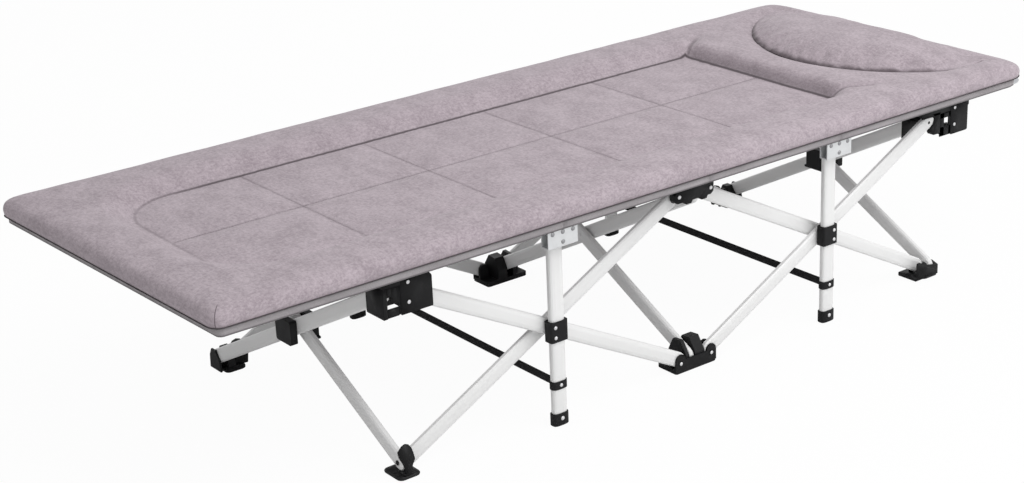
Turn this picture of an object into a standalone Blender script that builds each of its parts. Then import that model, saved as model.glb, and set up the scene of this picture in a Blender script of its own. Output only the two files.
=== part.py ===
"""Folding camping cot with a quilted pad, built as separate named solids.

Metres, +Z up, +X toward the head end, the origin on the ground under the middle of the pad.
All fourteen struts are one length on one grid of pivots, so the side scissors and the cross
scissors fold together at the same angle. In the functions below x is counted from the middle
hubs and v is the distance out from the long centre line.
"""
import bpy
import bmesh
import math
from mathutils import Matrix, Vector

# Driving dimensions

# scissor frame
SPAN = 0.590            # level distance between the two pivots of every strut, cot open
LOWER_PIVOT_Z = 0.026   # pivots in the hubs that stand on the ground
UPPER_PIVOT_Z = 0.334   # pivots in the hubs under the bed
MID_PIVOT_X = 0.038     # side pivots of the middle hubs, from the hub centre
FOOT_OVERHANG = 0.377   # pad beyond the end pivots at the foot end
HEAD_OVERHANG = 0.247   # and at the head end
HUB_DEPTH = 0.052
PLATE_THICK = 0.003     # front plates of the hubs
HUB_WALL = 0.0035       # walls outside the slots
FOOT_WIDE = 0.0434      # end feet, along the cot
FOOT_PLATE_IN = 0.048   # front plates of the foot end hubs, from the pivot toward the middle
FOOT_PLATE_OUT = 0.015  # and away from it
HEAD_PLATE_GAP = 0.011  # window between the box and the front plate of the head end hubs
HEAD_PLATE_WIDE = 0.051
PLATE_RIVET_LOW = 0.018  # rivets on those plates, below and above the pivot
PLATE_RIVET_HIGH = 0.017
BOX_BACK = 0.026        # boxes of the end hubs, from the pivot toward the middle
MID_EAR_R = 0.012       # rounded ends of the middle hubs
BLOCK_HALF = 0.025      # cross blocks: half width, cheeks, halves above and below the crossing
BLOCK_CHEEK = 0.014
BLOCK_UP = 0.023
BLOCK_DOWN = 0.022
BLOCK_LIP = 0.005

# struts
STRUT_WIDE = 0.029
STRUT_THICK = 0.014
LAYER_GAP = 0.001       # between two cross struts that cross side by side
SIDE_LAYER_GAP = 0.0015  # between two side struts that cross side by side
SLOT_GAP = 0.0005       # between a strut and the walls of its slot
END_GAP = 0.001         # between the round end of a strut and what it turns in
PLATE_CLEAR = 0.0015    # between the round ends of the cross struts and the front plates
PIN_R = 0.003
HOLE_CLEARANCE = 0.0003
RIVET_R = 0.0045
RIVET_TALL = 0.0010
TOP_RIVET_RISE = 0.0127  # rivet heads that show, from the pivots behind them
FOOT_RIVET_RISE = 0.009
MID_FOOT_RIVET_DROP = 0.006

# sliding legs
LEG_WIDE = 0.030
LEG_DEEP = 0.015
LEG_WALL = 0.0015
LEG_BEHIND = 0.0005     # between the hub faces and the backs of the legs
SEAT_GAP = 0.0003       # between two pieces that touch
COLLAR_WIDE = 0.038
COLLAR_TALL = 0.038
CAP_TALL = 0.024
STRAP_Z = 0.078
STRAP_TALL = 0.016
WEB_THICK = 0.0015

# bed edge
RAIL_Z = 0.381
RAIL_TALL = 0.014
RAIL_THICK = 0.012
RAIL_PIVOT_MID = 0.012  # rail pivots on the middle hubs, from the hub centre
RAIL_END_LEG = 0.032    # centres of the rounded rail ends at a leg bracket, from the leg centre
BRACKET_WIDE = 0.064
BRACKET_DROP = 0.0375   # bracket floor below the rail centres
STEEL_THICK = 0.002

# cloth and pad
CLOTH_THICK = 0.0015
HEM_INSET = 0.010       # cloth ends, from the pad ends
PAD_PROUD = 0.0045      # pad sides beyond the cloth sides
FOOT_CORNER_R = 0.020
HEAD_CORNER_R = 0.050
EDGE_RISE = 0.012       # widest line of the pad above its underside
CROWN_RISE = 0.035      # top of the roll round the pad
CROWN_IN = 0.065        # from the pad's edge to the top of the roll
SEAM_RISE = 0.007       # seam between the roll and the quilted panel, and the channels
PANEL_RISE = 0.011
SEAM_SLOPE = 0.060      # from that seam up to the top of the roll
BORDER = 0.142          # width of the roll
PANEL_FOOT_X = -0.882
PANEL_HEAD_X = 0.457
PANEL_CORNER_R = 0.110
QUILT_PITCH = 0.2715
OVAL_X = 0.859          # round edge of the pillow: centre and half axes
OVAL_RX = 0.290
OVAL_RY = 0.307
OVAL_RISE = 0.020       # seam round the pillow above the pad's underside
PILLOW_HALF = 0.285
PILLOW_END = 0.030      # pillow short of the head end
PILLOW_TALL = 0.036

# Derived places

STRUT_R = STRUT_WIDE / 2
HOLE_R = PIN_R + HOLE_CLEARANCE
STRUT_HALF = STRUT_THICK / 2
SLOT_HALF = STRUT_HALF + SLOT_GAP
END_PIVOT_X = MID_PIVOT_X + SPAN
LEG_X = MID_PIVOT_X + SPAN / 2
MID_PIVOT_Z = (LOWER_PIVOT_Z + UPPER_PIVOT_Z) / 2
PAD_FOOT_X = -END_PIVOT_X - FOOT_OVERHANG
PAD_HEAD_X = END_PIVOT_X + HEAD_OVERHANG
PAD_MID_X = (PAD_FOOT_X + PAD_HEAD_X) / 2

CROSS_PIVOT_V = SPAN / 2            # equal struts close at one angle only with equal spans
PLATE_IN_V = CROSS_PIVOT_V + STRUT_R + PLATE_CLEAR
HUB_FACE_V = PLATE_IN_V + PLATE_THICK
HUB_IN_V = HUB_FACE_V - HUB_DEPTH
OUTER_LAYER_V = PLATE_IN_V - SLOT_HALF
INNER_LAYER_V = OUTER_LAYER_V - STRUT_THICK - SIDE_LAYER_GAP
MID_LAYER_X = (STRUT_THICK + LAYER_GAP) / 2
SIDE_END_X = END_PIVOT_X + STRUT_R + END_GAP
END_LAYER_NEAR_X = SIDE_END_X + END_GAP + STRUT_HALF
END_LAYER_FAR_X = END_LAYER_NEAR_X + STRUT_THICK + LAYER_GAP
HUB_OUT_X = END_LAYER_FAR_X + SLOT_HALF + HUB_WALL
HUB_IN_X = END_PIVOT_X - BOX_BACK
HUB_LOW_Z = UPPER_PIVOT_Z - 0.038
HUB_TOP_Z = RAIL_Z - 0.004
HUB_ROOF_Z = UPPER_PIVOT_Z + STRUT_R + END_GAP
FOOT_IN_X = END_PIVOT_X - 0.0034
FOOT_OUT_X = FOOT_IN_X + FOOT_WIDE
MID_HUB_HALF = MID_PIVOT_X + MID_EAR_R
WALL_IN_X = MID_PIVOT_X - STRUT_R - END_GAP

LEG_FACE_V = HUB_FACE_V + LEG_BEHIND + LEG_DEEP
LEG_V = LEG_FACE_V - LEG_DEEP / 2
LEG_TOP_Z = RAIL_Z - 0.0095
RAIL_IN_V = LEG_FACE_V + SEAT_GAP + STEEL_THICK + 0.0017
RAIL_V = RAIL_IN_V + RAIL_THICK / 2
RAIL_PIVOT_END = END_PIVOT_X + MID_PIVOT_X - RAIL_PIVOT_MID
RAIL_END_R = RAIL_TALL / 2
BRACKET_LOW_Z = RAIL_Z - BRACKET_DROP
BRACKET_FACE_V = RAIL_IN_V + RAIL_THICK + 0.0015 + STEEL_THICK
CLOTH_LOW_Z = RAIL_Z + RAIL_TALL / 2 + SEAT_GAP
CLOTH_TOP_Z = CLOTH_LOW_Z + CLOTH_THICK
CLOTH_V = BRACKET_FACE_V + 0.001 + CLOTH_THICK
PAD_LOW_Z = CLOTH_TOP_Z + SEAT_GAP
PAD_HALF_V = CLOTH_V + PAD_PROUD
PILLOW_LOW_Z = PAD_LOW_Z + OVAL_RISE - 0.002

# Finishes: name, colour, metallic, roughness

PLASTIC = ("black_plastic", (0.022, 0.022, 0.024, 1.0), 0.0, 0.45)
PAINT = ("white_paint", (0.78, 0.78, 0.78, 1.0), 0.0, 0.35)
PLATE = ("white_steel", (0.74, 0.74, 0.75, 1.0), 0.2, 0.35)
RAIL_METAL = ("rail_alloy", (0.55, 0.55, 0.57, 1.0), 0.6, 0.40)
CLOTH = ("grey_cloth", (0.26, 0.25, 0.26, 1.0), 0.0, 0.90)
WEBBING = ("black_webbing", (0.02, 0.02, 0.02, 1.0), 0.0, 0.85)
PAD_CLOTH = ("heather_pad", (0.50, 0.44, 0.47, 1.0), 0.0, 0.95)

for old in list(bpy.data.objects):
    bpy.data.objects.remove(old, do_unlink=True)


# Mesh helpers

def mesh_of(bm, name="solid"):
    bmesh.ops.recalc_face_normals(bm, faces=bm.faces)
    mesh = bpy.data.meshes.new(name)
    bm.to_mesh(mesh)
    bm.free()
    return mesh


def loft(rings):
    """One closed solid through rings of points with equal counts."""
    bm = bmesh.new()
    rows = [[bm.verts.new(p) for p in ring] for ring in rings]
    count = len(rows[0])
    for lower, upper in zip(rows, rows[1:]):
        for i in range(count):
            j = (i + 1) % count
            bm.faces.new((lower[i], lower[j], upper[j], upper[i]))
    bm.faces.new(rows[0][::-1])
    bm.faces.new(rows[-1])
    return mesh_of(bm)


def on_axis(axis, a, b, t):
    """Outline point (a, b) at depth t: x keeps (y, z), y keeps (x, z), z keeps (x, y)."""
    if axis == "x":
        return (t, a, b)
    if axis == "y":
        return (a, t, b)
    return (a, b, t)


def prism(outline, axis, low, high):
    return loft([[on_axis(axis, a, b, t) for a, b in outline] for t in (low, high)])


def block(x0, x1, y0, y1, z0, z1):
    return prism([(x0, y0), (x1, y0), (x1, y1), (x0, y1)], "z", z0, z1)


TURN = 0.3              # keeps the corners of small discs off the planes of other faces


def disc(axis, a, b, radius, low, high, sides=12):
    outline = [(a + radius * math.cos(2 * math.pi * (i + TURN) / sides),
                b + radius * math.sin(2 * math.pi * (i + TURN) / sides)) for i in range(sides)]
    return prism(outline, axis, low, high)


def rounded(a0, a1, b0, b1, radius, steps=3):
    """Outline of a rectangle with rounded corners."""
    points = []
    corners = ((a1 - radius, b1 - radius, 0), (a0 + radius, b1 - radius, 90),
               (a0 + radius, b0 + radius, 180), (a1 - radius, b0 + radius, 270))
    for ca, cb, turn in corners:
        for i in range(steps + 1):
            angle = math.radians(turn + 90 * i / steps)
            points.append((ca + radius * math.cos(angle), cb + radius * math.sin(angle)))
    return points


def oval(a, b, wide, deep, sides=16, power=0.62):
    """Flattened tube section centred on (a, b)."""
    points = []
    for i in range(sides):
        angle = 2 * math.pi * (i + 0.5) / sides
        c, s = math.cos(angle), math.sin(angle)
        points.append((a + wide / 2 * math.copysign(abs(c) ** power, c),
                       b + deep / 2 * math.copysign(abs(s) ** power, s)))
    return points


def combine(base, added=(), cut=()):
    """Add and cut solids in turn and return the finished mesh."""
    body = bpy.data.objects.new("body", base)
    bpy.context.scene.collection.objects.link(body)
    for kind, solids in (("UNION", added), ("DIFFERENCE", cut)):
        for solid in solids:
            tool = bpy.data.objects.new("tool", solid)
            bpy.context.scene.collection.objects.link(tool)
            step = body.modifiers.new("step", "BOOLEAN")
            step.operation = kind
            step.solver = "EXACT"
            step.object = tool
            graph = bpy.context.evaluated_depsgraph_get()
            result = bpy.data.meshes.new_from_object(body.evaluated_get(graph))
            body.modifiers.clear()
            body.data = result
            bpy.data.objects.remove(tool, do_unlink=True)
    mesh = body.data
    bpy.data.objects.remove(body, do_unlink=True)
    return mesh


def mirrored(mesh, sx, sy):
    """Copy of a mesh mirrored through the middle hub plane and the long centre plane."""
    copy = mesh.copy()
    copy.transform(Matrix.Diagonal((sx, sy, 1.0, 1.0)))
    if sx * sy < 0:
        copy.flip_normals()
    return copy


def material(spec):
    name, colour, metal, rough = spec
    found = bpy.data.materials.get(name)
    if found:
        return found
    made = bpy.data.materials.new(name)
    made.use_nodes = True
    shader = made.node_tree.nodes["Principled BSDF"]
    shader.inputs["Base Color"].default_value = colour
    shader.inputs["Metallic"].default_value = metal
    shader.inputs["Roughness"].default_value = rough
    return made


def place(name, mesh, origin, spec, smooth=True):
    """Name a solid, put its origin on its joint axis and move it from the hubs to the pad's middle."""
    at = Vector(origin)
    mesh.transform(Matrix.Translation(-at))
    mesh.name = name
    mesh.materials.clear()
    mesh.materials.append(material(spec))
    if smooth:
        mesh.shade_smooth()
        mesh.set_sharp_from_angle(angle=math.radians(38))
    made = bpy.data.objects.new(name, mesh)
    made.location = at - Vector((PAD_MID_X, 0, 0))
    bpy.context.scene.collection.objects.link(made)
    return made


# Struts and rails: flat oval bars with rounded ends, drilled for their pins

def bar(length, wide, thick, drilled, over=None):
    """Bar along +X from its first pivot, wide in Z, thick in Y, drilled at the given places."""
    radius = wide / 2 if over is None else over
    turns = (80, 58, 30, 0)
    stations = [(-radius * math.sin(math.radians(t)), math.cos(math.radians(t))) for t in turns]
    stations += [(length - x, scale) for x, scale in reversed(stations)]
    rings = []
    for x, scale in stations:
        rings.append([(x, b, a) for a, b in oval(0, 0, wide * scale, thick, 12)])
    body = loft(rings)
    holes = [disc("y", x, 0, HOLE_R, -thick, thick, 10) for x in drilled]
    return combine(body, cut=holes)


def laid_between(mesh, start, end, thick_axis):
    """Turn and move a bar so that it runs from start to end with its thickness on an axis."""
    along = (Vector(end) - Vector(start)).normalized()
    across = Vector(thick_axis)
    up = along.cross(across)
    turn = Matrix((along, across, up)).transposed().to_4x4()
    copy = mesh.copy()
    copy.transform(Matrix.Translation(Vector(start)) @ turn)
    if turn.determinant() < 0:
        copy.flip_normals()
    return copy


STRUT_LONG = math.hypot(SPAN, UPPER_PIVOT_Z - LOWER_PIVOT_Z)
STRUT_BAR = bar(STRUT_LONG, STRUT_WIDE, STRUT_THICK, (0, STRUT_LONG / 2, STRUT_LONG))
SIDES = (("near", -1), ("far", 1))
ENDS = (("foot", -1), ("head", 1))


def side_struts():
    for side, sy in SIDES:
        for end, sx in ENDS:
            low_mid = (sx * MID_PIVOT_X, sy * OUTER_LAYER_V, LOWER_PIVOT_Z)
            high_end = (sx * END_PIVOT_X, sy * OUTER_LAYER_V, UPPER_PIVOT_Z)
            mesh = laid_between(STRUT_BAR, low_mid, high_end, (0, 1, 0))
            place(f"strut_{end}_outer_{side}", mesh, low_mid, PAINT)
            low_end = (sx * END_PIVOT_X, sy * INNER_LAYER_V, LOWER_PIVOT_Z)
            high_mid = (sx * MID_PIVOT_X, sy * INNER_LAYER_V, UPPER_PIVOT_Z)
            middle = (sx * LEG_X, sy * INNER_LAYER_V, MID_PIVOT_Z)
            mesh = laid_between(STRUT_BAR, low_end, high_mid, (0, 1, 0))
            place(f"strut_{end}_inner_{side}", mesh, middle, PAINT)


def cross_strut(name, x, sy, origin_at_middle, mesh=STRUT_BAR):
    low = (x, sy * CROSS_PIVOT_V, LOWER_PIVOT_Z)
    high = (x, -sy * CROSS_PIVOT_V, UPPER_PIVOT_Z)
    middle = (x, 0, MID_PIVOT_Z)
    laid = laid_between(mesh, low, high, (1, 0, 0))
    place(name, laid, middle if origin_at_middle else low, PAINT)


def cross_struts():
    pin_low = -STRUT_THICK / 2 - RIVET_TALL
    pin_high = STRUT_THICK * 1.5 + LAYER_GAP
    pin = disc("y", STRUT_LONG / 2, 0, PIN_R, pin_low, pin_high, 10)
    undrilled = bar(STRUT_LONG, STRUT_WIDE, STRUT_THICK, (0, STRUT_LONG))
    pinned = combine(undrilled, added=[pin])
    for end, sx in ENDS:
        cross_strut(f"cross_{end}_near_low", sx * END_LAYER_NEAR_X, -1, False)
        cross_strut(f"cross_{end}_far_low", sx * END_LAYER_FAR_X, 1, True)
    cross_strut("cross_middle_near_low", -MID_LAYER_X, -1, False, pinned)
    cross_strut("cross_middle_far_low", MID_LAYER_X, 1, True)


def rails():
    inner = LEG_X + RAIL_END_LEG
    tip_inset = HEM_INSET + CLOTH_THICK + 0.0085
    for side, sy in SIDES:
        for end, sx, pad_end in (("foot", -1, -PAD_FOOT_X), ("head", 1, PAD_HEAD_X)):
            length = pad_end - tip_inset - RAIL_END_R - inner
            mesh = bar(length, RAIL_TALL, RAIL_THICK, (RAIL_PIVOT_END - inner,))
            start = (sx * inner, sy * RAIL_V, RAIL_Z)
            tip = (sx * (inner + length), sy * RAIL_V, RAIL_Z)
            laid = laid_between(mesh, start, tip, (0, 1, 0))
            place(f"rail_{end}_{side}", laid, (sx * RAIL_PIVOT_END, sy * RAIL_V, RAIL_Z), RAIL_METAL)
            length = LEG_X - RAIL_END_LEG - RAIL_PIVOT_MID
            mesh = bar(length, RAIL_TALL, RAIL_THICK, (0,))
            start = (sx * RAIL_PIVOT_MID, sy * RAIL_V, RAIL_Z)
            end_at_leg = (sx * (LEG_X - RAIL_END_LEG), sy * RAIL_V, RAIL_Z)
            laid = laid_between(mesh, start, end_at_leg, (0, 1, 0))
            place(f"rail_mid_{end}_{side}", laid, start, RAIL_METAL)


# Hubs: drawn once on the +X, +Y side, then mirrored

def rivet_head(x, z):
    """Rivet head on the outward face of a hub."""
    return disc("y", x, z, RIVET_R, PLATE_IN_V, HUB_FACE_V + RIVET_TALL, 10)


def rail_post(x):
    """Lug, spacer and pin that carry a side rail above a hub."""
    lug = prism(rounded(x - 0.009, x + 0.009, HUB_TOP_Z - 0.012, RAIL_Z + 0.006, 0.005), "y",
                PLATE_IN_V, HUB_FACE_V)
    spacer = disc("y", x, RAIL_Z, 0.0055, PLATE_IN_V, RAIL_IN_V - 0.0006)
    pin = disc("y", x, RAIL_Z, PIN_R, PLATE_IN_V, RAIL_IN_V + RAIL_THICK + 0.0006, 10)
    return [lug, spacer, pin]


def pocketed_box(layer_x):
    """Box over the two strut ends: a slot for the side strut and one for the cross strut."""
    side_slot_out = SIDE_END_X
    if layer_x < END_LAYER_FAR_X:
        side_slot_out = max(SIDE_END_X, layer_x - SLOT_HALF)
    under = HUB_LOW_Z - 0.01
    body = block(HUB_IN_X, HUB_OUT_X, HUB_IN_V, PLATE_IN_V, HUB_LOW_Z, HUB_TOP_Z)
    side_slot = block(HUB_IN_X - 0.01, side_slot_out, OUTER_LAYER_V - SLOT_HALF, PLATE_IN_V,
                      under, HUB_ROOF_Z)
    back_room = block(HUB_IN_X - 0.01, SIDE_END_X - 0.005, HUB_IN_V + PLATE_THICK,
                      OUTER_LAYER_V - SLOT_HALF - 0.005, under, HUB_ROOF_Z)
    cross_slot = block(layer_x - SLOT_HALF, layer_x + SLOT_HALF, HUB_IN_V - 0.01, PLATE_IN_V,
                       under, HUB_ROOF_Z)
    return combine(body, cut=[side_slot, back_room, cross_slot])


def plate_rivets(x):
    """Two rivet heads, one above the other, on a hub's front plate."""
    return [rivet_head(x, UPPER_PIVOT_Z - PLATE_RIVET_LOW),
            rivet_head(x, UPPER_PIVOT_Z + PLATE_RIVET_HIGH)]


def foot_end_plate(layer_x):
    """Front plate over the strut's end; window in the wall of the box below the cross pin."""
    inner, outer = END_PIVOT_X - FOOT_PLATE_IN, END_PIVOT_X + FOOT_PLATE_OUT
    outline = [(inner, HUB_LOW_Z), (outer, HUB_LOW_Z), (outer, HUB_TOP_Z),
               (inner + 0.022, HUB_TOP_Z), (inner, HUB_ROOF_Z + 0.001)]
    plate = prism(outline, "y", PLATE_IN_V - 0.0002, HUB_FACE_V)
    roof = block(inner + 0.024, HUB_IN_X + 0.002, OUTER_LAYER_V - SLOT_HALF, PLATE_IN_V + 0.001,
                 HUB_ROOF_Z, HUB_TOP_Z)
    face = block(outer - 0.002, HUB_OUT_X, PLATE_IN_V - 0.0004, PLATE_IN_V + 0.0008,
                 HUB_LOW_Z + 0.004, HUB_TOP_Z)
    beyond = HUB_OUT_X + 0.01
    upright = block(layer_x, beyond, PLATE_IN_V - 0.021, PLATE_IN_V - 0.012,
                    HUB_LOW_Z + 0.019, HUB_LOW_Z + 0.032)
    slit = block(layer_x, beyond, PLATE_IN_V - 0.014, PLATE_IN_V - 0.003,
                 HUB_LOW_Z + 0.019, HUB_LOW_Z + 0.024)
    return [plate, roof, face] + plate_rivets(END_PIVOT_X), [upright, slit]


def head_end_plate():
    """Front plate beyond the box, on a roof and a sill with an open window between them."""
    inner = HUB_OUT_X + HEAD_PLATE_GAP
    outer = inner + HEAD_PLATE_WIDE
    plate = prism(rounded(inner, outer, HUB_LOW_Z, HUB_TOP_Z - 0.003, 0.004, 2), "y",
                  PLATE_IN_V - PLATE_THICK, HUB_FACE_V)
    tab = prism(rounded(outer - 0.006, outer + 0.005, UPPER_PIVOT_Z + 0.012,
                        UPPER_PIVOT_Z + 0.027, 0.003, 2), "y",
                PLATE_IN_V - 2 * PLATE_THICK, PLATE_IN_V + 0.001)
    roof = block(HUB_OUT_X - 0.002, outer - 0.002, HUB_IN_V + 0.012, PLATE_IN_V + 0.001,
                 HUB_TOP_Z - 0.014, HUB_TOP_Z)
    sill = block(HUB_OUT_X - 0.002, inner + 0.006, PLATE_IN_V - 0.014, PLATE_IN_V - 0.001,
                 HUB_LOW_Z, HUB_LOW_Z + 0.006)
    skirt = block(SIDE_END_X, HUB_OUT_X, PLATE_IN_V - 0.0004, PLATE_IN_V + 0.0008,
                  HUB_LOW_Z + 0.001, HUB_TOP_Z - 0.001)
    return [plate, tab, roof, sill, skirt] + plate_rivets(inner + 0.0105)


def end_upper_hub(end, layer_x):
    """Hub under the bed: a box over the strut ends with the pins of both struts."""
    body = pocketed_box(layer_x)
    if end == "foot":
        added, openings = foot_end_plate(layer_x)
        body = combine(body, cut=openings)
        side_pin_out = PLATE_IN_V + 0.001
    else:
        added = head_end_plate()
        side_pin_out = OUTER_LAYER_V + STRUT_HALF - 0.001
    side_pin = disc("y", END_PIVOT_X, UPPER_PIVOT_Z, PIN_R, OUTER_LAYER_V - SLOT_HALF - 0.008,
                    side_pin_out, 10)
    cross_pin = disc("x", CROSS_PIVOT_V, UPPER_PIVOT_Z, PIN_R, layer_x - STRUT_HALF,
                     HUB_OUT_X - 0.001, 10)
    return combine(body, added=added + [side_pin, cross_pin] + rail_post(RAIL_PIVOT_END))


def ear(x, z, reach, lean):
    """Outline of a rounded tongue round a pivot, standing on the base plate."""
    points = [(x - reach + lean * 0.2, 0.004), (x + reach, 0.004)]
    for i in range(7):
        angle = math.radians(-10 + 200 * i / 6)
        points.append((x + lean + reach * math.cos(angle), z + 0.006 + reach * math.sin(angle)))
    return points


def end_lower_hub(layer_x):
    """Foot: flared pad, low dome, a leaning ear for the side strut, a wall for the cross strut."""
    rings = []
    for z, inset in ((0.0, 0.0015), (0.0015, 0.0), (0.0060, 0.0), (0.0095, 0.006)):
        outline = rounded(FOOT_IN_X + inset, FOOT_OUT_X - inset, HUB_IN_V + inset,
                          HUB_FACE_V - inset, 0.008)
        rings.append([(x, v, z) for x, v in outline])
    base = loft(rings)
    shelf = block(FOOT_OUT_X - 0.010, HUB_OUT_X, HUB_IN_V + 0.008, HUB_FACE_V - 0.008, 0.0045, 0.0090)
    front_v, back_v = INNER_LAYER_V + SLOT_HALF, INNER_LAYER_V - SLOT_HALF
    ear_thick = 0.0065
    front = prism(ear(END_PIVOT_X, LOWER_PIVOT_Z, 0.0150, -0.006), "y", front_v, front_v + ear_thick)
    back = prism(ear(END_PIVOT_X, LOWER_PIVOT_Z, 0.0135, -0.004), "y", back_v - 0.0045, back_v)
    outline = [(HUB_IN_V + 0.006, 0.004), (HUB_FACE_V - 0.006, 0.004),
               (HUB_FACE_V - 0.008, 0.030), (CROSS_PIVOT_V + 0.004, 0.044),
               (CROSS_PIVOT_V - 0.010, 0.044), (HUB_IN_V + 0.010, 0.026)]
    walls = []
    for low, high in ((SIDE_END_X, layer_x - SLOT_HALF), (layer_x + SLOT_HALF, HUB_OUT_X)):
        if high - low > 0.002:
            walls.append(prism(outline, "x", low, high))
    pin = disc("y", END_PIVOT_X, LOWER_PIVOT_Z, PIN_R, back_v - 0.003, front_v + 0.004, 10)
    head = disc("y", END_PIVOT_X - 0.005, LOWER_PIVOT_Z + FOOT_RIVET_RISE, RIVET_R, front_v + 0.003,
                front_v + ear_thick + RIVET_TALL, 10)
    cross_pin = disc("x", CROSS_PIVOT_V, LOWER_PIVOT_Z, PIN_R, layer_x - STRUT_HALF,
                     layer_x + SLOT_HALF + 0.002, 10)
    return combine(base, added=[shelf, front, back] + walls + [pin, head, cross_pin])


def mid_walls(low, high, side_of_slot):
    """Two webs beside the cross strut; the slot lies on one side of the middle plane."""
    centre = side_of_slot * MID_LAYER_X
    webs = []
    for a, b in ((-WALL_IN_X, centre - SLOT_HALF), (centre + SLOT_HALF, WALL_IN_X)):
        outline = [(HUB_IN_V, low[0]), (PLATE_IN_V + 0.001, low[0]), (PLATE_IN_V + 0.001, low[1]),
                   (CROSS_PIVOT_V, high), (HUB_IN_V + 0.012, high - 0.002), (HUB_IN_V, low[1])]
        webs.append(prism(outline, "x", a, b))
    cross_pin = disc("x", CROSS_PIVOT_V, low[2], PIN_R, centre - SLOT_HALF - 0.003,
                     centre + SLOT_HALF + 0.003, 10)
    return webs + [cross_pin]


def mid_lower_hub(side_of_slot):
    """Long foot with two raised ears for the outer struts and webs beside the cross strut."""
    rings = []
    for z, inset in ((0.0, 0.001), (0.001, 0.0), (0.0100, 0.0)):
        outline = rounded(-MID_HUB_HALF + inset, MID_HUB_HALF - inset, HUB_IN_V + inset,
                          HUB_FACE_V - inset, 0.004, 2)
        rings.append([(x, v, z) for x, v in outline])
    base = loft(rings)
    profile = [(-MID_HUB_HALF, 0.004), (MID_HUB_HALF, 0.004)]
    for centre in (MID_PIVOT_X, -MID_PIVOT_X):
        for i in range(7):
            angle = math.radians(180 * i / 6)
            profile.append((centre + MID_EAR_R * math.cos(angle),
                            LOWER_PIVOT_Z + MID_EAR_R * math.sin(angle)))
    plate = prism(profile, "y", PLATE_IN_V, HUB_FACE_V)
    back_ears = []
    back_v = OUTER_LAYER_V - SLOT_HALF
    for centre in (MID_PIVOT_X, -MID_PIVOT_X):
        back_ears.append(prism(ear(centre, LOWER_PIVOT_Z - 0.003, 0.0115, 0.0), "y",
                               back_v - 0.005, back_v))
    pins = []
    for x in (-MID_PIVOT_X, MID_PIVOT_X):
        pins.append(disc("y", x, LOWER_PIVOT_Z, PIN_R, back_v - 0.003, PLATE_IN_V + 0.001, 10))
        pins.append(rivet_head(x, LOWER_PIVOT_Z - MID_FOOT_RIVET_DROP))
    walls = mid_walls((0.004, 0.030, LOWER_PIVOT_Z), 0.056, side_of_slot)
    return combine(base, added=[plate] + back_ears + walls + pins)


def mid_upper_hub(side_of_slot):
    """Long bracket under the bed: thick front with two bumps, webs beside the cross strut."""
    front_in = INNER_LAYER_V + SLOT_HALF
    back_v = INNER_LAYER_V - SLOT_HALF
    roof = HUB_ROOF_Z
    low = UPPER_PIVOT_Z - MID_EAR_R
    bump = low - 0.005
    top = block(-MID_HUB_HALF, MID_HUB_HALF, HUB_IN_V, HUB_FACE_V, roof, HUB_TOP_Z)
    right = [(0.008, low), (0.011, bump), (0.021, bump), (0.024, low), (MID_PIVOT_X + 0.004, low),
             (MID_HUB_HALF, UPPER_PIVOT_Z - 0.004), (MID_HUB_HALF, HUB_TOP_Z - 0.004)]
    front = prism([(-x, z) for x, z in reversed(right)] + right, "y", front_in, HUB_FACE_V)
    back_low = [(-MID_HUB_HALF, roof + 0.002), (-MID_HUB_HALF, low + 0.004),
                (-WALL_IN_X + 0.001, low), (-WALL_IN_X + 0.001, roof + 0.002)]
    backs = [prism(back_low, "y", back_v - 0.005, back_v),
             prism([(-a, b) for a, b in back_low], "y", back_v - 0.005, back_v)]
    centre = side_of_slot * MID_LAYER_X
    notch = block(centre - SLOT_HALF, centre + SLOT_HALF, HUB_IN_V - 0.01, PLATE_IN_V, low - 0.01, roof)
    front = combine(front, cut=[notch])
    webs = []
    for a, b in ((-WALL_IN_X, centre - SLOT_HALF), (centre + SLOT_HALF, WALL_IN_X)):
        webs.append(block(a, b, HUB_IN_V, front_in + 0.002, low + 0.001, roof + 0.002))
    pins = []
    for x in (-MID_PIVOT_X, MID_PIVOT_X):
        pins.append(disc("y", x, UPPER_PIVOT_Z, PIN_R, back_v - 0.003, front_in + 0.004, 10))
        pins.append(rivet_head(x, UPPER_PIVOT_Z + TOP_RIVET_RISE))
    cross_pin = disc("x", CROSS_PIVOT_V, UPPER_PIVOT_Z, PIN_R, centre - SLOT_HALF - 0.003,
                     centre + SLOT_HALF + 0.003, 10)
    posts = rail_post(RAIL_PIVOT_MID) + rail_post(-RAIL_PIVOT_MID)
    return combine(top, added=[front] + backs + webs + pins + [cross_pin] + posts)


def hubs():
    """Each end cross strut has its own layer, so near and far hubs have their slots apart."""
    upper_layer = {"near": END_LAYER_FAR_X, "far": END_LAYER_NEAR_X}
    lower = {"near": end_lower_hub(END_LAYER_NEAR_X), "far": end_lower_hub(END_LAYER_FAR_X)}
    low_mid = {"near": mid_lower_hub(-1), "far": mid_lower_hub(1)}
    high_mid = {"near": mid_upper_hub(1), "far": mid_upper_hub(-1)}
    for side, sy in SIDES:
        for end, sx in ENDS:
            upper = end_upper_hub(end, upper_layer[side])
            place(f"hub_upper_{end}_{side}", mirrored(upper, sx, sy),
                  (sx * END_PIVOT_X, sy * OUTER_LAYER_V, UPPER_PIVOT_Z), PLASTIC)
            place(f"foot_{end}_{side}", mirrored(lower[side], sx, sy),
                  (sx * END_PIVOT_X, sy * INNER_LAYER_V, LOWER_PIVOT_Z), PLASTIC)
        place(f"foot_middle_{side}", mirrored(low_mid[side], 1, sy),
              (0, sy * CROSS_PIVOT_V, LOWER_PIVOT_Z), PLASTIC)
        place(f"hub_upper_middle_{side}", mirrored(high_mid[side], 1, sy),
              (-MID_PIVOT_X, sy * INNER_LAYER_V, UPPER_PIVOT_Z), PLASTIC)


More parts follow.
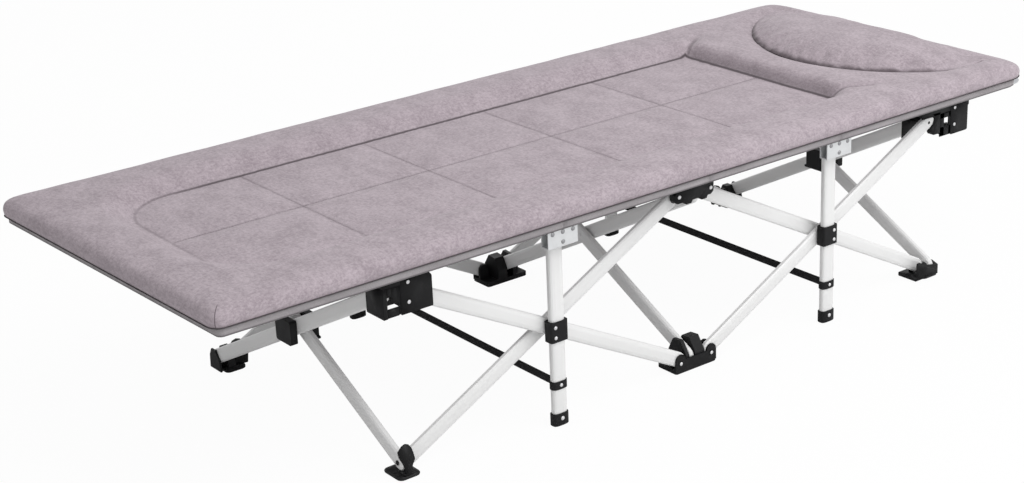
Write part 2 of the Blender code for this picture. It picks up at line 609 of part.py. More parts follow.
def cross_blocks():
    """Two cheeks and a pin that hold the crossing of the end struts."""
    inner, outer = END_LAYER_NEAR_X - SLOT_HALF, END_LAYER_FAR_X + SLOT_HALF
    low, high = MID_PIVOT_Z - BLOCK_DOWN, MID_PIVOT_Z + BLOCK_UP
    cheek = rounded(-BLOCK_HALF, BLOCK_HALF, low, high, 0.004, 2)
    flange = rounded(-BLOCK_HALF - BLOCK_LIP, BLOCK_HALF + BLOCK_LIP, low, low + BLOCK_LIP, 0.002, 2)
    lip = prism(flange, "x", inner - BLOCK_CHEEK, inner - 0.002)
    pin = disc("x", 0, MID_PIVOT_Z, PIN_R, inner - 0.004, outer + 0.004, 10)
    far_cheek = prism(cheek, "x", outer, outer + BLOCK_CHEEK)
    mesh = combine(prism(cheek, "x", inner - BLOCK_CHEEK, inner), added=[lip, pin, far_cheek])
    for end, sx in ENDS:
        place(f"cross_block_{end}", mirrored(mesh, sx, 1),
              (sx * END_LAYER_NEAR_X, 0, MID_PIVOT_Z), PLASTIC)


# Sliding legs: tube, foot cap, steel bracket for the rails, collar on the scissor crossing

def leg_outline(grow):
    return oval(LEG_X, LEG_V, LEG_WIDE + 2 * grow, LEG_DEEP + 2 * grow)


def leg_tube():
    low = 0.004 + SEAT_GAP
    body = prism(leg_outline(0), "z", low, LEG_TOP_Z)
    return combine(body, cut=[prism(leg_outline(-LEG_WALL), "z", low - 0.01, LEG_TOP_Z + 0.01)])


def leg_cap():
    wall = 0.0018
    rings = []
    for z, inset in ((0.0, 0.001), (0.001, 0.0), (CAP_TALL - 0.001, 0.0), (CAP_TALL, 0.0008)):
        rings.append([(x, v, z) for x, v in leg_outline(SEAT_GAP + wall - inset)])
    pocket = prism(leg_outline(SEAT_GAP), "z", 0.004, CAP_TALL + 0.01)
    body = combine(loft(rings), cut=[pocket])
    face = LEG_FACE_V + SEAT_GAP + wall
    rivet = disc("y", LEG_X, 0.014, RIVET_R - 0.001, face - 0.001, face + RIVET_TALL * 0.8, 8)
    return combine(body, added=[rivet])


def leg_bracket():
    """Steel channel, open above, that takes both rail ends in front of the leg tube."""
    back = LEG_FACE_V + SEAT_GAP
    front = BRACKET_FACE_V
    top = RAIL_Z + RAIL_TALL / 2
    profile = [(back, top), (back, BRACKET_LOW_Z), (front, BRACKET_LOW_Z), (front, top),
               (front - STEEL_THICK, top), (front - STEEL_THICK, BRACKET_LOW_Z + STEEL_THICK),
               (back + STEEL_THICK, BRACKET_LOW_Z + STEEL_THICK), (back + STEEL_THICK, top)]
    body = prism(profile, "x", LEG_X - BRACKET_WIDE / 2, LEG_X + BRACKET_WIDE / 2)
    heads = []
    for dx, rise in ((-0.022, 0.026), (0.0, 0.026), (0.022, 0.026), (0.0, 0.0082)):
        heads.append(disc("y", LEG_X + dx, BRACKET_LOW_Z + rise, RIVET_R - 0.001, front - 0.001,
                          front + RIVET_TALL * 0.8, 8))
    return combine(body, added=heads)


def leg_collar():
    """Slider round the leg with the pin of the scissor crossing on its back."""
    back = PLATE_IN_V + 0.0002
    front = LEG_FACE_V + SEAT_GAP + 0.0020
    low, high = MID_PIVOT_Z - COLLAR_TALL / 2, MID_PIVOT_Z + COLLAR_TALL / 2
    outline = rounded(LEG_X - COLLAR_WIDE / 2, LEG_X + COLLAR_WIDE / 2, back, front, 0.004)
    body = prism(outline, "z", low, high)
    body = combine(body, cut=[prism(leg_outline(SEAT_GAP), "z", low - 0.01, high + 0.01)])
    pin = disc("y", LEG_X, MID_PIVOT_Z, PIN_R, INNER_LAYER_V - STRUT_THICK / 2 - 0.001,
               back + 0.0010, 10)
    heads = [disc("y", LEG_X + 0.009, MID_PIVOT_Z + dz, RIVET_R - 0.0015, front - 0.001,
                  front + RIVET_TALL * 0.7, 8) for dz in (-0.010, 0.009)]
    return combine(body, added=[pin] + heads)


def legs():
    tube, cap, bracket, collar = leg_tube(), leg_cap(), leg_bracket(), leg_collar()
    for side, sy in SIDES:
        for end, sx in ENDS:
            at = (sx * LEG_X, sy * LEG_V)
            place(f"leg_tube_{end}_{side}", mirrored(tube, sx, sy), at + (MID_PIVOT_Z,), PAINT)
            place(f"leg_cap_{end}_{side}", mirrored(cap, sx, sy), at + (0.0,), PLASTIC)
            place(f"leg_bracket_{end}_{side}", mirrored(bracket, sx, sy),
                  at + (BRACKET_LOW_Z,), PLATE)
            place(f"collar_{end}_{side}", mirrored(collar, sx, sy),
                  (sx * LEG_X, sy * OUTER_LAYER_V, MID_PIVOT_Z), PLASTIC)


def straps():
    """Webbing across the cot: a loop round each leg and a flat run between them."""
    low, high = STRAP_Z - STRAP_TALL / 2, STRAP_Z + STRAP_TALL / 2
    skin = SEAT_GAP + WEB_THICK
    run = block(LEG_X - WEB_THICK / 2, LEG_X + WEB_THICK / 2, -LEG_V + LEG_DEEP / 2 + SEAT_GAP,
                LEG_V - LEG_DEEP / 2 - SEAT_GAP, low, high)
    loops, holes = [], []
    for sy in (1, -1):
        loop = prism(leg_outline(skin), "z", low, high)
        hole = prism(leg_outline(SEAT_GAP), "z", low - 0.01, high + 0.01)
        face = LEG_FACE_V + skin
        rivet = disc("y", LEG_X, STRAP_Z, RIVET_R - 0.0015, face - 0.001, face + RIVET_TALL * 0.6, 8)
        loops += [mirrored(loop, 1, sy), mirrored(rivet, 1, sy)]
        holes.append(mirrored(hole, 1, sy))
    mesh = combine(run, added=loops, cut=holes)
    for end, sx in ENDS:
        place(f"strap_{end}", mirrored(mesh, sx, 1), (sx * LEG_X, 0, STRAP_Z), WEBBING)


# Cloth bed, quilted pad and pillow

def bed_cloth():
    """Tight cloth over the rails with a hem turned down on all four sides."""
    t = CLOTH_THICK
    foot, head = PAD_FOOT_X + HEM_INSET, PAD_HEAD_X - HEM_INSET
    outline = rounded(foot, head, -CLOTH_V, CLOTH_V, FOOT_CORNER_R)
    hollow = rounded(foot + t, head - t, -CLOTH_V + t, CLOTH_V - t, FOOT_CORNER_R - t)
    outer = prism(outline, "z", RAIL_Z - RAIL_TALL / 2, CLOTH_TOP_Z)
    mesh = combine(outer, cut=[prism(hollow, "z", 0.0, CLOTH_LOW_Z)])
    place("bed_cloth", mesh, (PAD_MID_X, 0, CLOTH_LOW_Z), CLOTH)


def puff(t):
    """Rise of a stuffed edge from its seam (0) to its full height (1)."""
    return math.sin(math.pi / 2 * max(0.0, min(1.0, t)))


def rounded_distance(x, y, x0, x1, half_y, radius):
    """Signed distance to a rounded rectangle, negative inside."""
    mid_x, half_x = (x0 + x1) / 2, (x1 - x0) / 2
    dx = abs(x - mid_x) - (half_x - radius)
    dy = abs(y) - (half_y - radius)
    outside = math.hypot(max(dx, 0), max(dy, 0))
    return outside + min(max(dx, dy), 0) - radius


def corner_r(x):
    return FOOT_CORNER_R if x < PAD_MID_X else HEAD_CORNER_R


def oval_distance(x, y):
    """Distance beyond the oval seam, close to the seam."""
    dx, dy = (x - OVAL_X) / OVAL_RX, y / OVAL_RY
    return (math.hypot(dx, dy) - 1) * min(OVAL_RX, OVAL_RY)


CHANNELS = [PANEL_FOOT_X + QUILT_PITCH * k - 0.0145 for k in range(1, 5)]


def pad_top(x, y):
    """Height of the pad's top above its underside."""
    edge = -rounded_distance(x, y, PAD_FOOT_X, PAD_HEAD_X, PAD_HALF_V, corner_r(x))
    square = PANEL_CORNER_R if x < PAD_MID_X else FOOT_CORNER_R
    panel = rounded_distance(x, y, PANEL_FOOT_X, PANEL_HEAD_X, PAD_HALF_V - BORDER, square)
    if panel < 0:
        channel = min([abs(x - at) for at in CHANNELS] + [abs(y), -panel])
        return SEAM_RISE + (PANEL_RISE - SEAM_RISE) * puff(channel / 0.030)
    return min(EDGE_RISE + (CROWN_RISE - EDGE_RISE) * puff(edge / CROWN_IN),
               SEAM_RISE + (CROWN_RISE - SEAM_RISE) * puff(panel / SEAM_SLOPE),
               OVAL_RISE + (CROWN_RISE - OVAL_RISE) * puff(oval_distance(x, y) / 0.050))


def stations(points, fill):
    """Sorted places with gaps wider than fill split evenly."""
    points = sorted(set(round(p, 4) for p in points))
    out = [points[0]]
    for a, b in zip(points, points[1:]):
        parts = max(1, math.ceil((b - a) / fill))
        out += [a + (b - a) * k / parts for k in range(1, parts + 1)]
    return out


def round_corner(x, y, grow):
    """Pull a square corner of the pad's grid in to the rounded one and grow the outline."""
    half_x = (PAD_HEAD_X - PAD_FOOT_X) / 2
    radius = corner_r(x)
    dx = x - PAD_MID_X
    over_x, over_y = abs(dx) - half_x + radius, abs(y) - PAD_HALF_V + radius
    if over_x > 0 and over_y > 0:
        scale = max(over_x, over_y) / math.hypot(over_x, over_y)
        dx = math.copysign(half_x - radius + over_x * scale, dx)
        y = math.copysign(PAD_HALF_V - radius + over_y * scale, y)
    return PAD_MID_X + dx * (1 + grow / half_x), y * (1 + grow / PAD_HALF_V)


def pad_grid():
    """Places of the pad's grid lines, close together at the seams and the rolls."""
    inner_y = PAD_HALF_V - BORDER
    ys = [0.0, 0.010, 0.030, inner_y - 0.030, inner_y - 0.010, inner_y, inner_y + 0.020,
          inner_y + 0.045, PAD_HALF_V - CROWN_IN, PAD_HALF_V - 0.040, PAD_HALF_V - 0.018,
          PAD_HALF_V - 0.006, PAD_HALF_V]
    xs = [PANEL_FOOT_X + dx for dx in (-0.060, -0.035, -0.015, 0.0, 0.012, 0.030)]
    xs += [PANEL_HEAD_X + dx for dx in (-0.030, -0.012, 0.0, 0.012, 0.030, 0.055, 0.085, 0.112)]
    for end, inward in ((PAD_FOOT_X, 1), (PAD_HEAD_X, -1)):
        xs += [end + inward * dx for dx in (0.0, 0.006, 0.018, 0.040, CROWN_IN)]
    for at in CHANNELS:
        xs += [at - 0.028, at - 0.010, at, at + 0.010, at + 0.028]
    return stations(xs, 0.075), stations(ys + [-y for y in ys], 0.075)


def pillow_outline(grow, count=40):
    """Oval cut off before the head end and at the sides, its corners eased."""
    mid_x = OVAL_X - OVAL_RX / 2
    points = []
    for k in range(count):
        angle = 2 * math.pi * (k + 0.5) / count
        c, s = math.cos(angle), math.sin(angle)
        low, high = 0.0, OVAL_RX + OVAL_RY
        for _ in range(30):
            reach = (low + high) / 2
            x, y = mid_x + reach * c, reach * s
            room = PAD_HEAD_X - PILLOW_END - mid_x
            ends = (max(0, reach * c) / room) ** 6 + (abs(y) / PILLOW_HALF) ** 6
            inside = ((x - OVAL_X) / OVAL_RX) ** 2 + (y / OVAL_RY) ** 2 < 1 and ends < 1
            low, high = (reach, high) if inside else (low, reach)
        points.append((mid_x + (low + grow) * c, (low + grow) * s))
    return points


def pad():
    """Quilted pad: a thick roll round a flat channelled panel, a bolster, a seat for the pillow."""
    xs, ys = pad_grid()
    bm = bmesh.new()
    top = []
    for x in xs:
        column = []
        for y in ys:
            px, py = round_corner(x, y, 0)
            column.append(bm.verts.new((px, py, PAD_LOW_Z + pad_top(px, py))))
        top.append(column)
    for i in range(len(xs) - 1):
        for j in range(len(ys) - 1):
            bm.faces.new((top[i][j], top[i + 1][j], top[i + 1][j + 1], top[i][j + 1]))
    rim = [(i, 0) for i in range(len(xs))] + [(len(xs) - 1, j) for j in range(1, len(ys))]
    rim += [(i, len(ys) - 1) for i in range(len(xs) - 2, -1, -1)]
    rim += [(0, j) for j in range(len(ys) - 2, 0, -1)]
    ring = [top[i][j] for i, j in rim]
    for level, grow in ((0.35, -0.003), (0.0, -HEM_INSET)):
        lower = []
        for i, j in rim:
            px, py = round_corner(xs[i], ys[j], grow)
            lower.append(bm.verts.new((px, py, PAD_LOW_Z + level * EDGE_RISE)))
        for k in range(len(ring)):
            n = (k + 1) % len(ring)
            bm.faces.new((ring[k], lower[k], lower[n], ring[n]))
        ring = lower
    bm.faces.new(ring)
    bmesh.ops.triangulate(bm, faces=[f for f in bm.faces if len(f.verts) > 4])
    seat = prism(pillow_outline(SEAT_GAP), "z", PILLOW_LOW_Z, PAD_LOW_Z + 2 * CROWN_RISE)
    place("pad", combine(mesh_of(bm), cut=[seat]), (PAD_MID_X, 0, PAD_LOW_Z), PAD_CLOTH)


def pillow():
    """Cushion sewn down round its oval seam, crowned above it."""
    mid_x = OVAL_X - OVAL_RX / 2
    rings = []
    for scale, rise in ((0.985, 0.0), (1.0, 0.07), (0.965, 0.42), (0.88, 0.72), (0.66, 0.93),
                        (0.33, 1.0)):
        z = PILLOW_LOW_Z + SEAT_GAP + PILLOW_TALL * rise
        rings.append([(mid_x + (x - mid_x) * scale, y * scale, z) for x, y in pillow_outline(0)])
    place("pillow", loft(rings), (mid_x, 0, PILLOW_LOW_Z + SEAT_GAP), PAD_CLOTH)


side_struts()
cross_struts()
rails()
hubs()
cross_blocks()
legs()
straps()
bed_cloth()
pad()
pillow()
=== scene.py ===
import bmesh
import bpy
import math
import numpy as np
from mathutils import Matrix, Vector, noise


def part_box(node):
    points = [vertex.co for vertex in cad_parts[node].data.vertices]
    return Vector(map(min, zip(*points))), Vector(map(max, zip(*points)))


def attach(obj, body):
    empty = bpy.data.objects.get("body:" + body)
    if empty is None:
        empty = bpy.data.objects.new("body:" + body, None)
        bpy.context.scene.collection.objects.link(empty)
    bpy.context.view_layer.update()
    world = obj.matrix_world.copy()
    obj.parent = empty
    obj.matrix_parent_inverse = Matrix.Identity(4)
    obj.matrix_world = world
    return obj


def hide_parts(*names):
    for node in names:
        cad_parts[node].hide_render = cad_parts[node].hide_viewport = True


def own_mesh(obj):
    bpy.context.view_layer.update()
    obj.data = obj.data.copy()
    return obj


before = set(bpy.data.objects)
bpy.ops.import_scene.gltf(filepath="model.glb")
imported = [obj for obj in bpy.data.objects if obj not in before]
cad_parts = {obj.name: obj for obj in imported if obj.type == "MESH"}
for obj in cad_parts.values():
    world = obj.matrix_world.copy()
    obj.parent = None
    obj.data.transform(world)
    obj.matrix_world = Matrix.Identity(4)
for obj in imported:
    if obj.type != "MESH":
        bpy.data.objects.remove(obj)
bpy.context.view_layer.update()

scene = bpy.context.scene


# Camera
# Stands at the foot end's left, a little above the bed. Place, lens and roll were solved from about ninety
# points of the photograph.

camera_turn, camera_lift, camera_roll = math.radians(-36.717), math.radians(21.212), math.radians(-2.479)
towards_camera = Vector((math.sin(camera_turn) * math.cos(camera_lift),
                         -math.cos(camera_turn) * math.cos(camera_lift), math.sin(camera_lift)))
level = (-towards_camera).cross(Vector((0, 0, 1))).normalized()
upward = level.cross(-towards_camera)
right = math.cos(camera_roll) * level + math.sin(camera_roll) * upward
upward = math.cos(camera_roll) * upward - math.sin(camera_roll) * level
camera = bpy.data.objects.new("camera", bpy.data.cameras.new("camera"))
camera.matrix_world = Matrix.Translation((-2.1855, -2.7757, 1.5536)) @ Matrix(
    (right, upward, towards_camera)).transposed().to_4x4()
camera.data.sensor_width = 36.0
camera.data.lens = 1967.9 * 36.0 / 1024
camera.data.shift_y = 1.0 / 1024
camera.data.clip_end = 60.0
scene.collection.objects.link(camera)
scene.camera = camera


# Studio
# A white sweep under and behind the cot, one broad lamp above the near side and a weaker one behind the head,
# so that what faces the foot end lies in soft shade.

class Wire:
    """A socket that takes part in Python sums: each sign adds its Math node."""

    def __init__(self, graph, socket):
        self.graph, self.socket = graph, socket

    def maths(self, kind, *terms):
        return self.graph.node("ShaderNodeMath", {"operation": kind}, dict(enumerate(terms)))

    def __add__(self, other):
        return self.maths("ADD", self, other)

    def __sub__(self, other):
        return self.maths("SUBTRACT", self, other)

    def __rsub__(self, other):
        return self.maths("SUBTRACT", other, self)

    def __mul__(self, other):
        return self.maths("MULTIPLY", self, other)

    def __truediv__(self, other):
        return self.maths("DIVIDE", self, other)

    def __pow__(self, other):
        return self.maths("POWER", self, other)

    def __abs__(self):
        return self.maths("ABSOLUTE", self)

    def least(self, other):
        return self.maths("MINIMUM", self, other)

    def most(self, other):
        return self.maths("MAXIMUM", self, other)

    __radd__, __rmul__ = __add__, __mul__


class Graph:
    """A node tree that is filled one node at a time."""

    def __init__(self, tree):
        self.tree = tree

    def node(self, kind, settings=None, sockets=None, out=0):
        made = self.tree.nodes.new(kind)
        for key, value in (settings or {}).items():
            setattr(made, key, value)
        for key, value in (sockets or {}).items():
            if isinstance(value, Wire):
                self.tree.links.new(value.socket, made.inputs[key])
            else:
                made.inputs[key].default_value = value
        return Wire(self, made.outputs[out])


class Finish(Graph):
    """A material; constants stand on the shader's own sockets."""

    def __init__(self, name, **constants):
        self.material = bpy.data.materials.new(name)
        self.material.use_nodes = True
        super().__init__(self.material.node_tree)
        self.shader = self.tree.nodes["Principled BSDF"]
        for socket, value in constants.items():
            self.shader.inputs[socket.replace("_", " ")].default_value = value

    def place(self, stretch=None):
        at = self.node("ShaderNodeTexCoord", out="Object")
        if stretch is None:
            return at
        return self.node("ShaderNodeMapping", None, {"Vector": at, "Scale": stretch})

    def axes(self):
        split = self.node("ShaderNodeSeparateXYZ", None, {0: self.place()})
        return [Wire(self, split.socket.node.outputs[i]) for i in range(3)]

    def noise(self, scale, detail=2.0, stretch=None, rough=0.5):
        return self.node("ShaderNodeTexNoise", None, {"Vector": self.place(stretch), "Scale": scale,
                                                      "Detail": detail, "Roughness": rough})

    def step(self, value, low, high, to_low=0.0, to_high=1.0):
        """Smooth step from one value to the other."""
        return self.node("ShaderNodeMapRange", {"interpolation_type": "SMOOTHSTEP"},
                         {0: value, 1: low, 2: high, 3: to_low, 4: to_high})

    def blend(self, amount, a, b):
        return self.node("ShaderNodeMix", {"data_type": "RGBA"}, {0: amount, 6: a, 7: b}, 2)

    def feed(self, socket, wire):
        self.tree.links.new(wire.socket, self.shader.inputs[socket])

    def bump(self, height, depth, strength=1.0):
        self.feed("Normal", self.node("ShaderNodeBump", None, {"Height": height, "Distance": depth,
                                                               "Strength": strength}))


floor = bpy.data.objects.new("floor", bpy.data.meshes.new("floor"))
floor.data.from_pydata([(-14, -14, -0.0006), (14, -14, -0.0006), (14, 14, -0.0006), (-14, 14, -0.0006)], [],
                       [(0, 1, 2, 3)])
scene.collection.objects.link(floor)
sweep = Finish("white_sweep", Base_Color=(0.86, 0.86, 0.86, 1), Roughness=0.9, Specular_IOR_Level=0.0)
path = sweep.node("ShaderNodeLightPath", out="Is Camera Ray")
lit = sweep.node("ShaderNodeEmission", None, {"Color": (1, 1, 1, 1), "Strength": 1.0})
mixed = sweep.node("ShaderNodeMixShader", None,
                   {0: path * 0.96, 1: Wire(sweep, sweep.shader.outputs[0]), 2: lit})
sweep.tree.links.new(mixed.socket, sweep.tree.nodes["Material Output"].inputs["Surface"])
floor.data.materials.append(sweep.material)

world = bpy.data.worlds.new("studio")
world.use_nodes = True
scene.world = world
air = Graph(world.node_tree)
rays = air.tree.nodes.new("ShaderNodeLightPath")
direct, mirrored = (Wire(air, rays.outputs[key]) for key in ("Is Camera Ray", "Is Glossy Ray"))
strength = air.node("ShaderNodeMix", {"data_type": "FLOAT"}, {0: direct.most(mirrored), 2: 0.55, 3: 1.0})
backdrop = air.tree.nodes["Background"]
air.tree.links.new(strength.socket, backdrop.inputs["Strength"])
backdrop.inputs["Color"].default_value = (1, 1, 1, 1)

LAMPS_AIM = Vector((0, 0, 0.3))
for name, place, size, power in (("top_lamp", (0.7, -2.3, 3.0), 3.0, 90), ("back_lamp", (2.6, 2.2, 2.6), 2.0, 20)):
    lamp = bpy.data.objects.new(name, bpy.data.lights.new(name, "AREA"))
    lamp.data.size = size
    lamp.data.energy = power
    lamp.location = place
    lamp.rotation_euler = (Vector(place) - LAMPS_AIM).to_track_quat("Z", "Y").to_euler()
    scene.collection.objects.link(lamp)

scene.view_settings.view_transform = "Standard"


# White tubes
# Side and cross struts and the four legs: flat oval steel tube under a smooth white powder coat.

def dress(finish, *names):
    """Give a finish to the carried-over nodes whose names begin with one of these."""
    for name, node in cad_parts.items():
        if name.startswith(names):
            for slot in node.material_slots:
                slot.material = finish.material


powder = Finish("white_powder_coat", Base_Color=(0.80, 0.80, 0.80, 1), Roughness=0.34, Coat_Weight=0.0)
fine = powder.noise(160.0, 3.0)
powder.feed("Base Color", powder.blend(powder.noise(6.0), (0.80, 0.80, 0.795, 1), (0.83, 0.83, 0.83, 1)))
powder.feed("Roughness", fine * 0.10 + 0.28)
powder.bump(fine, 0.0002, 0.35)
dress(powder, "strut_", "cross_foot", "cross_head", "cross_middle", "leg_tube")


# Black mouldings
# Hubs, feet, collars, caps and cross blocks: glass-filled nylon with a fine spark-eroded grain.

nylon = Finish("black_nylon", Base_Color=(0.006, 0.006, 0.007, 1), Roughness=0.5, Specular_IOR_Level=0.22)
grain = nylon.noise(900.0, 2.0)
nylon.feed("Base Color", nylon.blend(nylon.noise(25.0, 3.0), (0.004, 0.004, 0.0045, 1),
                                     (0.009, 0.009, 0.010, 1)))
nylon.feed("Roughness", nylon.noise(60.0, 2.0) * 0.16 + 0.44)
nylon.bump(grain, 0.0002, 0.5)
dress(nylon, "hub_", "foot_", "collar_", "leg_cap", "cross_block")


# Steel brackets
# One folded plate on each leg's head holds both rails of its side: galvanised steel, matt and slightly cloudy.

steel = Finish("galvanised_steel", Base_Color=(0.66, 0.67, 0.68, 1), Roughness=0.45, Metallic=0.35)
cloud = steel.noise(70.0, 4.0)
steel.feed("Base Color", steel.blend(cloud, (0.60, 0.61, 0.62, 1), (0.74, 0.75, 0.76, 1)))
steel.feed("Roughness", steel.noise(220.0, 2.0) * 0.2 + 0.36)
steel.bump(steel.noise(500.0, 2.0), 0.0001, 0.4)
dress(steel, "leg_bracket")


# Rails
# Eight drawn bars that stretch the bed cloth: bright alloy with drawing marks along their length.

alloy = Finish("drawn_alloy", Base_Color=(0.55, 0.56, 0.58, 1), Roughness=0.35, Metallic=0.8)
drawn = alloy.noise(120.0, 3.0, (0.03, 1.0, 1.0))
alloy.feed("Base Color", alloy.blend(drawn, (0.48, 0.49, 0.51, 1), (0.62, 0.63, 0.65, 1)))
alloy.feed("Roughness", drawn * 0.22 + 0.26)
alloy.bump(drawn, 0.0001, 0.4)
dress(alloy, "rail_")


# Feet, end hubs and middle brackets
# The near side's end feet and end hubs and both long brackets under the bed's middle: black nylon with every
# edge rounded as a mould leaves it. They stand for the plainer CAD mouldings and hold the same pins.

MIDDLE_X = 0.065                       # the cot's middle plane, measured from the pad's middle
PIVOT_LOW, PIVOT_HIGH = 0.026, 0.334   # heights of the struts' pivots
END_X, CROSS_V = 0.628, 0.295          # side struts' end pivots, cross struts' pivots
INNER_V = 0.288                        # middle of the inner side struts
BACK_V, PLATE_V, FACE_V = 0.262, 0.3108, 0.3140   # hubs' backs, backs and fronts of their front plates
BOX_LOW, BOX_ROOF, HUB_TOP = 0.296, 0.351, 0.377
RAIL_Z, RAIL_MID, RAIL_END = 0.381, 0.012, 0.654  # rail pivots: height, place on middle and end hubs
PIN, ROUND_EDGE = 0.003, 0.0007        # radii of pins and of moulded edges


class Moulding:
    """Black moulding in a corner's own measures: x out from the middle plane, v out from the centre line."""

    def __init__(self, sx, sy):
        self.work, self.sx, self.sy = bmesh.new(), sx, sy

    def ring(self, points):
        return [self.work.verts.new((MIDDLE_X + self.sx * x, self.sy * v, z)) for x, v, z in points]

    def loft(self, rings):
        """Rings of equal count joined one to the next and closed at both ends."""
        rows = [self.ring(r) for r in rings]
        for a, b in zip(rows, rows[1:]):
            for k in range(len(a)):
                self.work.faces.new((a[k], a[(k + 1) % len(a)], b[(k + 1) % len(a)], b[k]))
        self.work.faces.new(rows[0][::-1])
        self.work.faces.new(rows[-1])

    def prism(self, axis, outline, low, high):
        """Outline in the two other axes, drawn out along this one."""
        def put(a, b, c):
            return {"x": (c, a, b), "v": (a, c, b), "z": (a, b, c)}[axis]
        self.loft([[put(a, b, c) for a, b in outline] for c in (low, high)])

    def block(self, x, v, z):
        self.prism("z", [(x[0], v[0]), (x[1], v[0]), (x[1], v[1]), (x[0], v[1])], *z)

    def disc(self, axis, a, b, radius, low, high):
        turns = [2 * math.pi * k / 20 for k in range(20)]
        self.prism(axis, [(a + radius * math.cos(t), b + radius * math.sin(t)) for t in turns], low, high)

    def rail_post(self, x):
        """Ear, shoulder and pin on which a rail turns."""
        self.prism("v", eased((x - 0.009, x + 0.009), (0.365, 0.387), 0.005), 0.311, FACE_V)
        self.disc("v", x, RAIL_Z, 0.0055, 0.311, 0.3329)
        self.disc("v", x, RAIL_Z, PIN, 0.311, 0.3461)

    def done(self, name, node):
        """Round the sharp edges and put the moulding in the place of its node, on the body of the same name."""
        bmesh.ops.recalc_face_normals(self.work, faces=self.work.faces)
        sharp = [e for e in self.work.edges if e.calc_face_angle(0) > 0.6]
        bmesh.ops.bevel(self.work, geom=sharp, offset=ROUND_EDGE, segments=2, affect="EDGES", clamp_overlap=True)
        mesh = bpy.data.meshes.new(name)
        self.work.to_mesh(mesh)
        self.work.free()
        mesh.materials.append(nylon.material)
        mesh.shade_smooth()
        made = bpy.data.objects.new(name, mesh)
        scene.collection.objects.link(made)
        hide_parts(node)
        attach(made, node)


def eased(x, v, corner):
    """Rounded rectangle as (x, v) points."""
    out = []
    for sx, sv, start in ((1, 1, 0), (-1, 1, 90), (-1, -1, 180), (1, -1, 270)):
        mid = (x[(sx + 1) // 2] - sx * corner, v[(sv + 1) // 2] - sv * corner)
        for k in range(6):
            turn = math.radians(start + 90 * k / 5)
            out.append((mid[0] + corner * math.cos(turn), mid[1] + corner * math.sin(turn)))
    return out


def end_foot(sx, walled):
    """Flared pad with a low dome, a leaning cheek and, at the head, a walled front."""
    foot = Moulding(sx, -1)
    rings = []
    for z, inset, corner in ((0.0, 0.0015, 0.009), (0.0015, 0.0, 0.010), (0.0045, 0.0, 0.010),
                             (0.0065, 0.0035, 0.009), (0.0098, 0.0100, 0.007), (0.0112, 0.0140, 0.006)):
        outline = eased((0.6236 + inset, 0.669 - inset), (0.2605 + inset, 0.3150 - inset), corner)
        rings.append([(x, v, z) for x, v in outline])
    foot.loft(rings)
    if walled:
        foot.prism("v", [(0.6040, 0.003), (0.668, 0.003), (0.668, 0.0235), (0.650, 0.0265), (0.636, 0.0300),
                         (0.631, 0.0360), (0.624, 0.0400), (0.619, 0.0360), (0.614, 0.0405), (0.6055, 0.0400)],
                   0.3105, FACE_V)
        foot.prism("x", [(0.272, 0.003), (0.3135, 0.003), (0.3135, 0.0235), (0.298, 0.0290), (0.272, 0.0200)],
                   0.6595, 0.668)
        foot.block((0.602, 0.630), (0.266, 0.3135), (0.002, 0.0100))
    else:
        foot.prism("v", [(0.6440, 0.0085), (0.6405, 0.0230), (0.6352, 0.0330), (0.6380, 0.0460), (0.6412, 0.0555),
                         (0.6460, 0.0625), (0.6526, 0.0655), (0.6600, 0.0630), (0.6685, 0.0545), (0.6665, 0.0440),
                         (0.6611, 0.0333), (0.6565, 0.0240), (0.6565, 0.0085)], 0.3098, FACE_V)
        foot.block((0.640, 0.658), (0.300, 0.3138), (0.006, 0.0115))
        foot.disc("x", CROSS_V, PIVOT_LOW, 0.0045, 0.6585, 0.6605)
    lug = INNER_V - 0.0122, INNER_V - 0.0077
    foot.disc("v", END_X, PIVOT_LOW, 0.0095, *lug)
    foot.prism("v", [(0.622, 0.006), (0.634, 0.006), (0.636, PIVOT_LOW), (0.620, PIVOT_LOW)], *lug)
    foot.disc("v", END_X, PIVOT_LOW, PIN, INNER_V - 0.010, 0.2965)
    return foot


def middle_bracket(sy):
    """Long bracket with two bumps below, a rounded end and the posts of the rails on top."""
    bracket = Moulding(1, sy)
    low, bump = 0.3340, 0.3285
    outline = [(-0.046, 0.376), (-0.046, 0.3385), (-0.0425, low), (-0.024, low), (-0.0215, bump),
               (-0.0085, bump), (-0.006, low), (0.0135, low), (0.016, bump), (0.0285, bump), (0.031, low),
               (0.039, low), (0.0445, 0.3385), (0.0460, 0.3450), (0.0450, 0.3520), (0.0400, 0.3575),
               (0.0400, 0.376)]
    bracket.prism("v", outline, 0.2965, FACE_V)
    bracket.block((-0.046, 0.046), (BACK_V, 0.3138), (0.3495, HUB_TOP))
    slot = -sy * 0.0075      # place of the middle cross strut's end
    for a, b in ((-0.0215, slot - 0.0077), (slot + 0.0077, 0.0215)):
        if b - a > 0.002:
            bracket.block((a, b), (BACK_V, 0.2975), (0.3355, 0.352))
    for sx in (-1, 1):
        bracket.block(tuple(sorted((sx * 0.022, sx * 0.0455))), (0.2755, 0.2800), (0.3375, 0.352))
        bracket.disc("v", sx * 0.038, PIVOT_HIGH, PIN, 0.277, 0.299)
        bracket.rail_post(sx * RAIL_MID)
    bracket.disc("x", CROSS_V, PIVOT_HIGH, PIN, slot - 0.0105, slot + 0.0105)
    return bracket


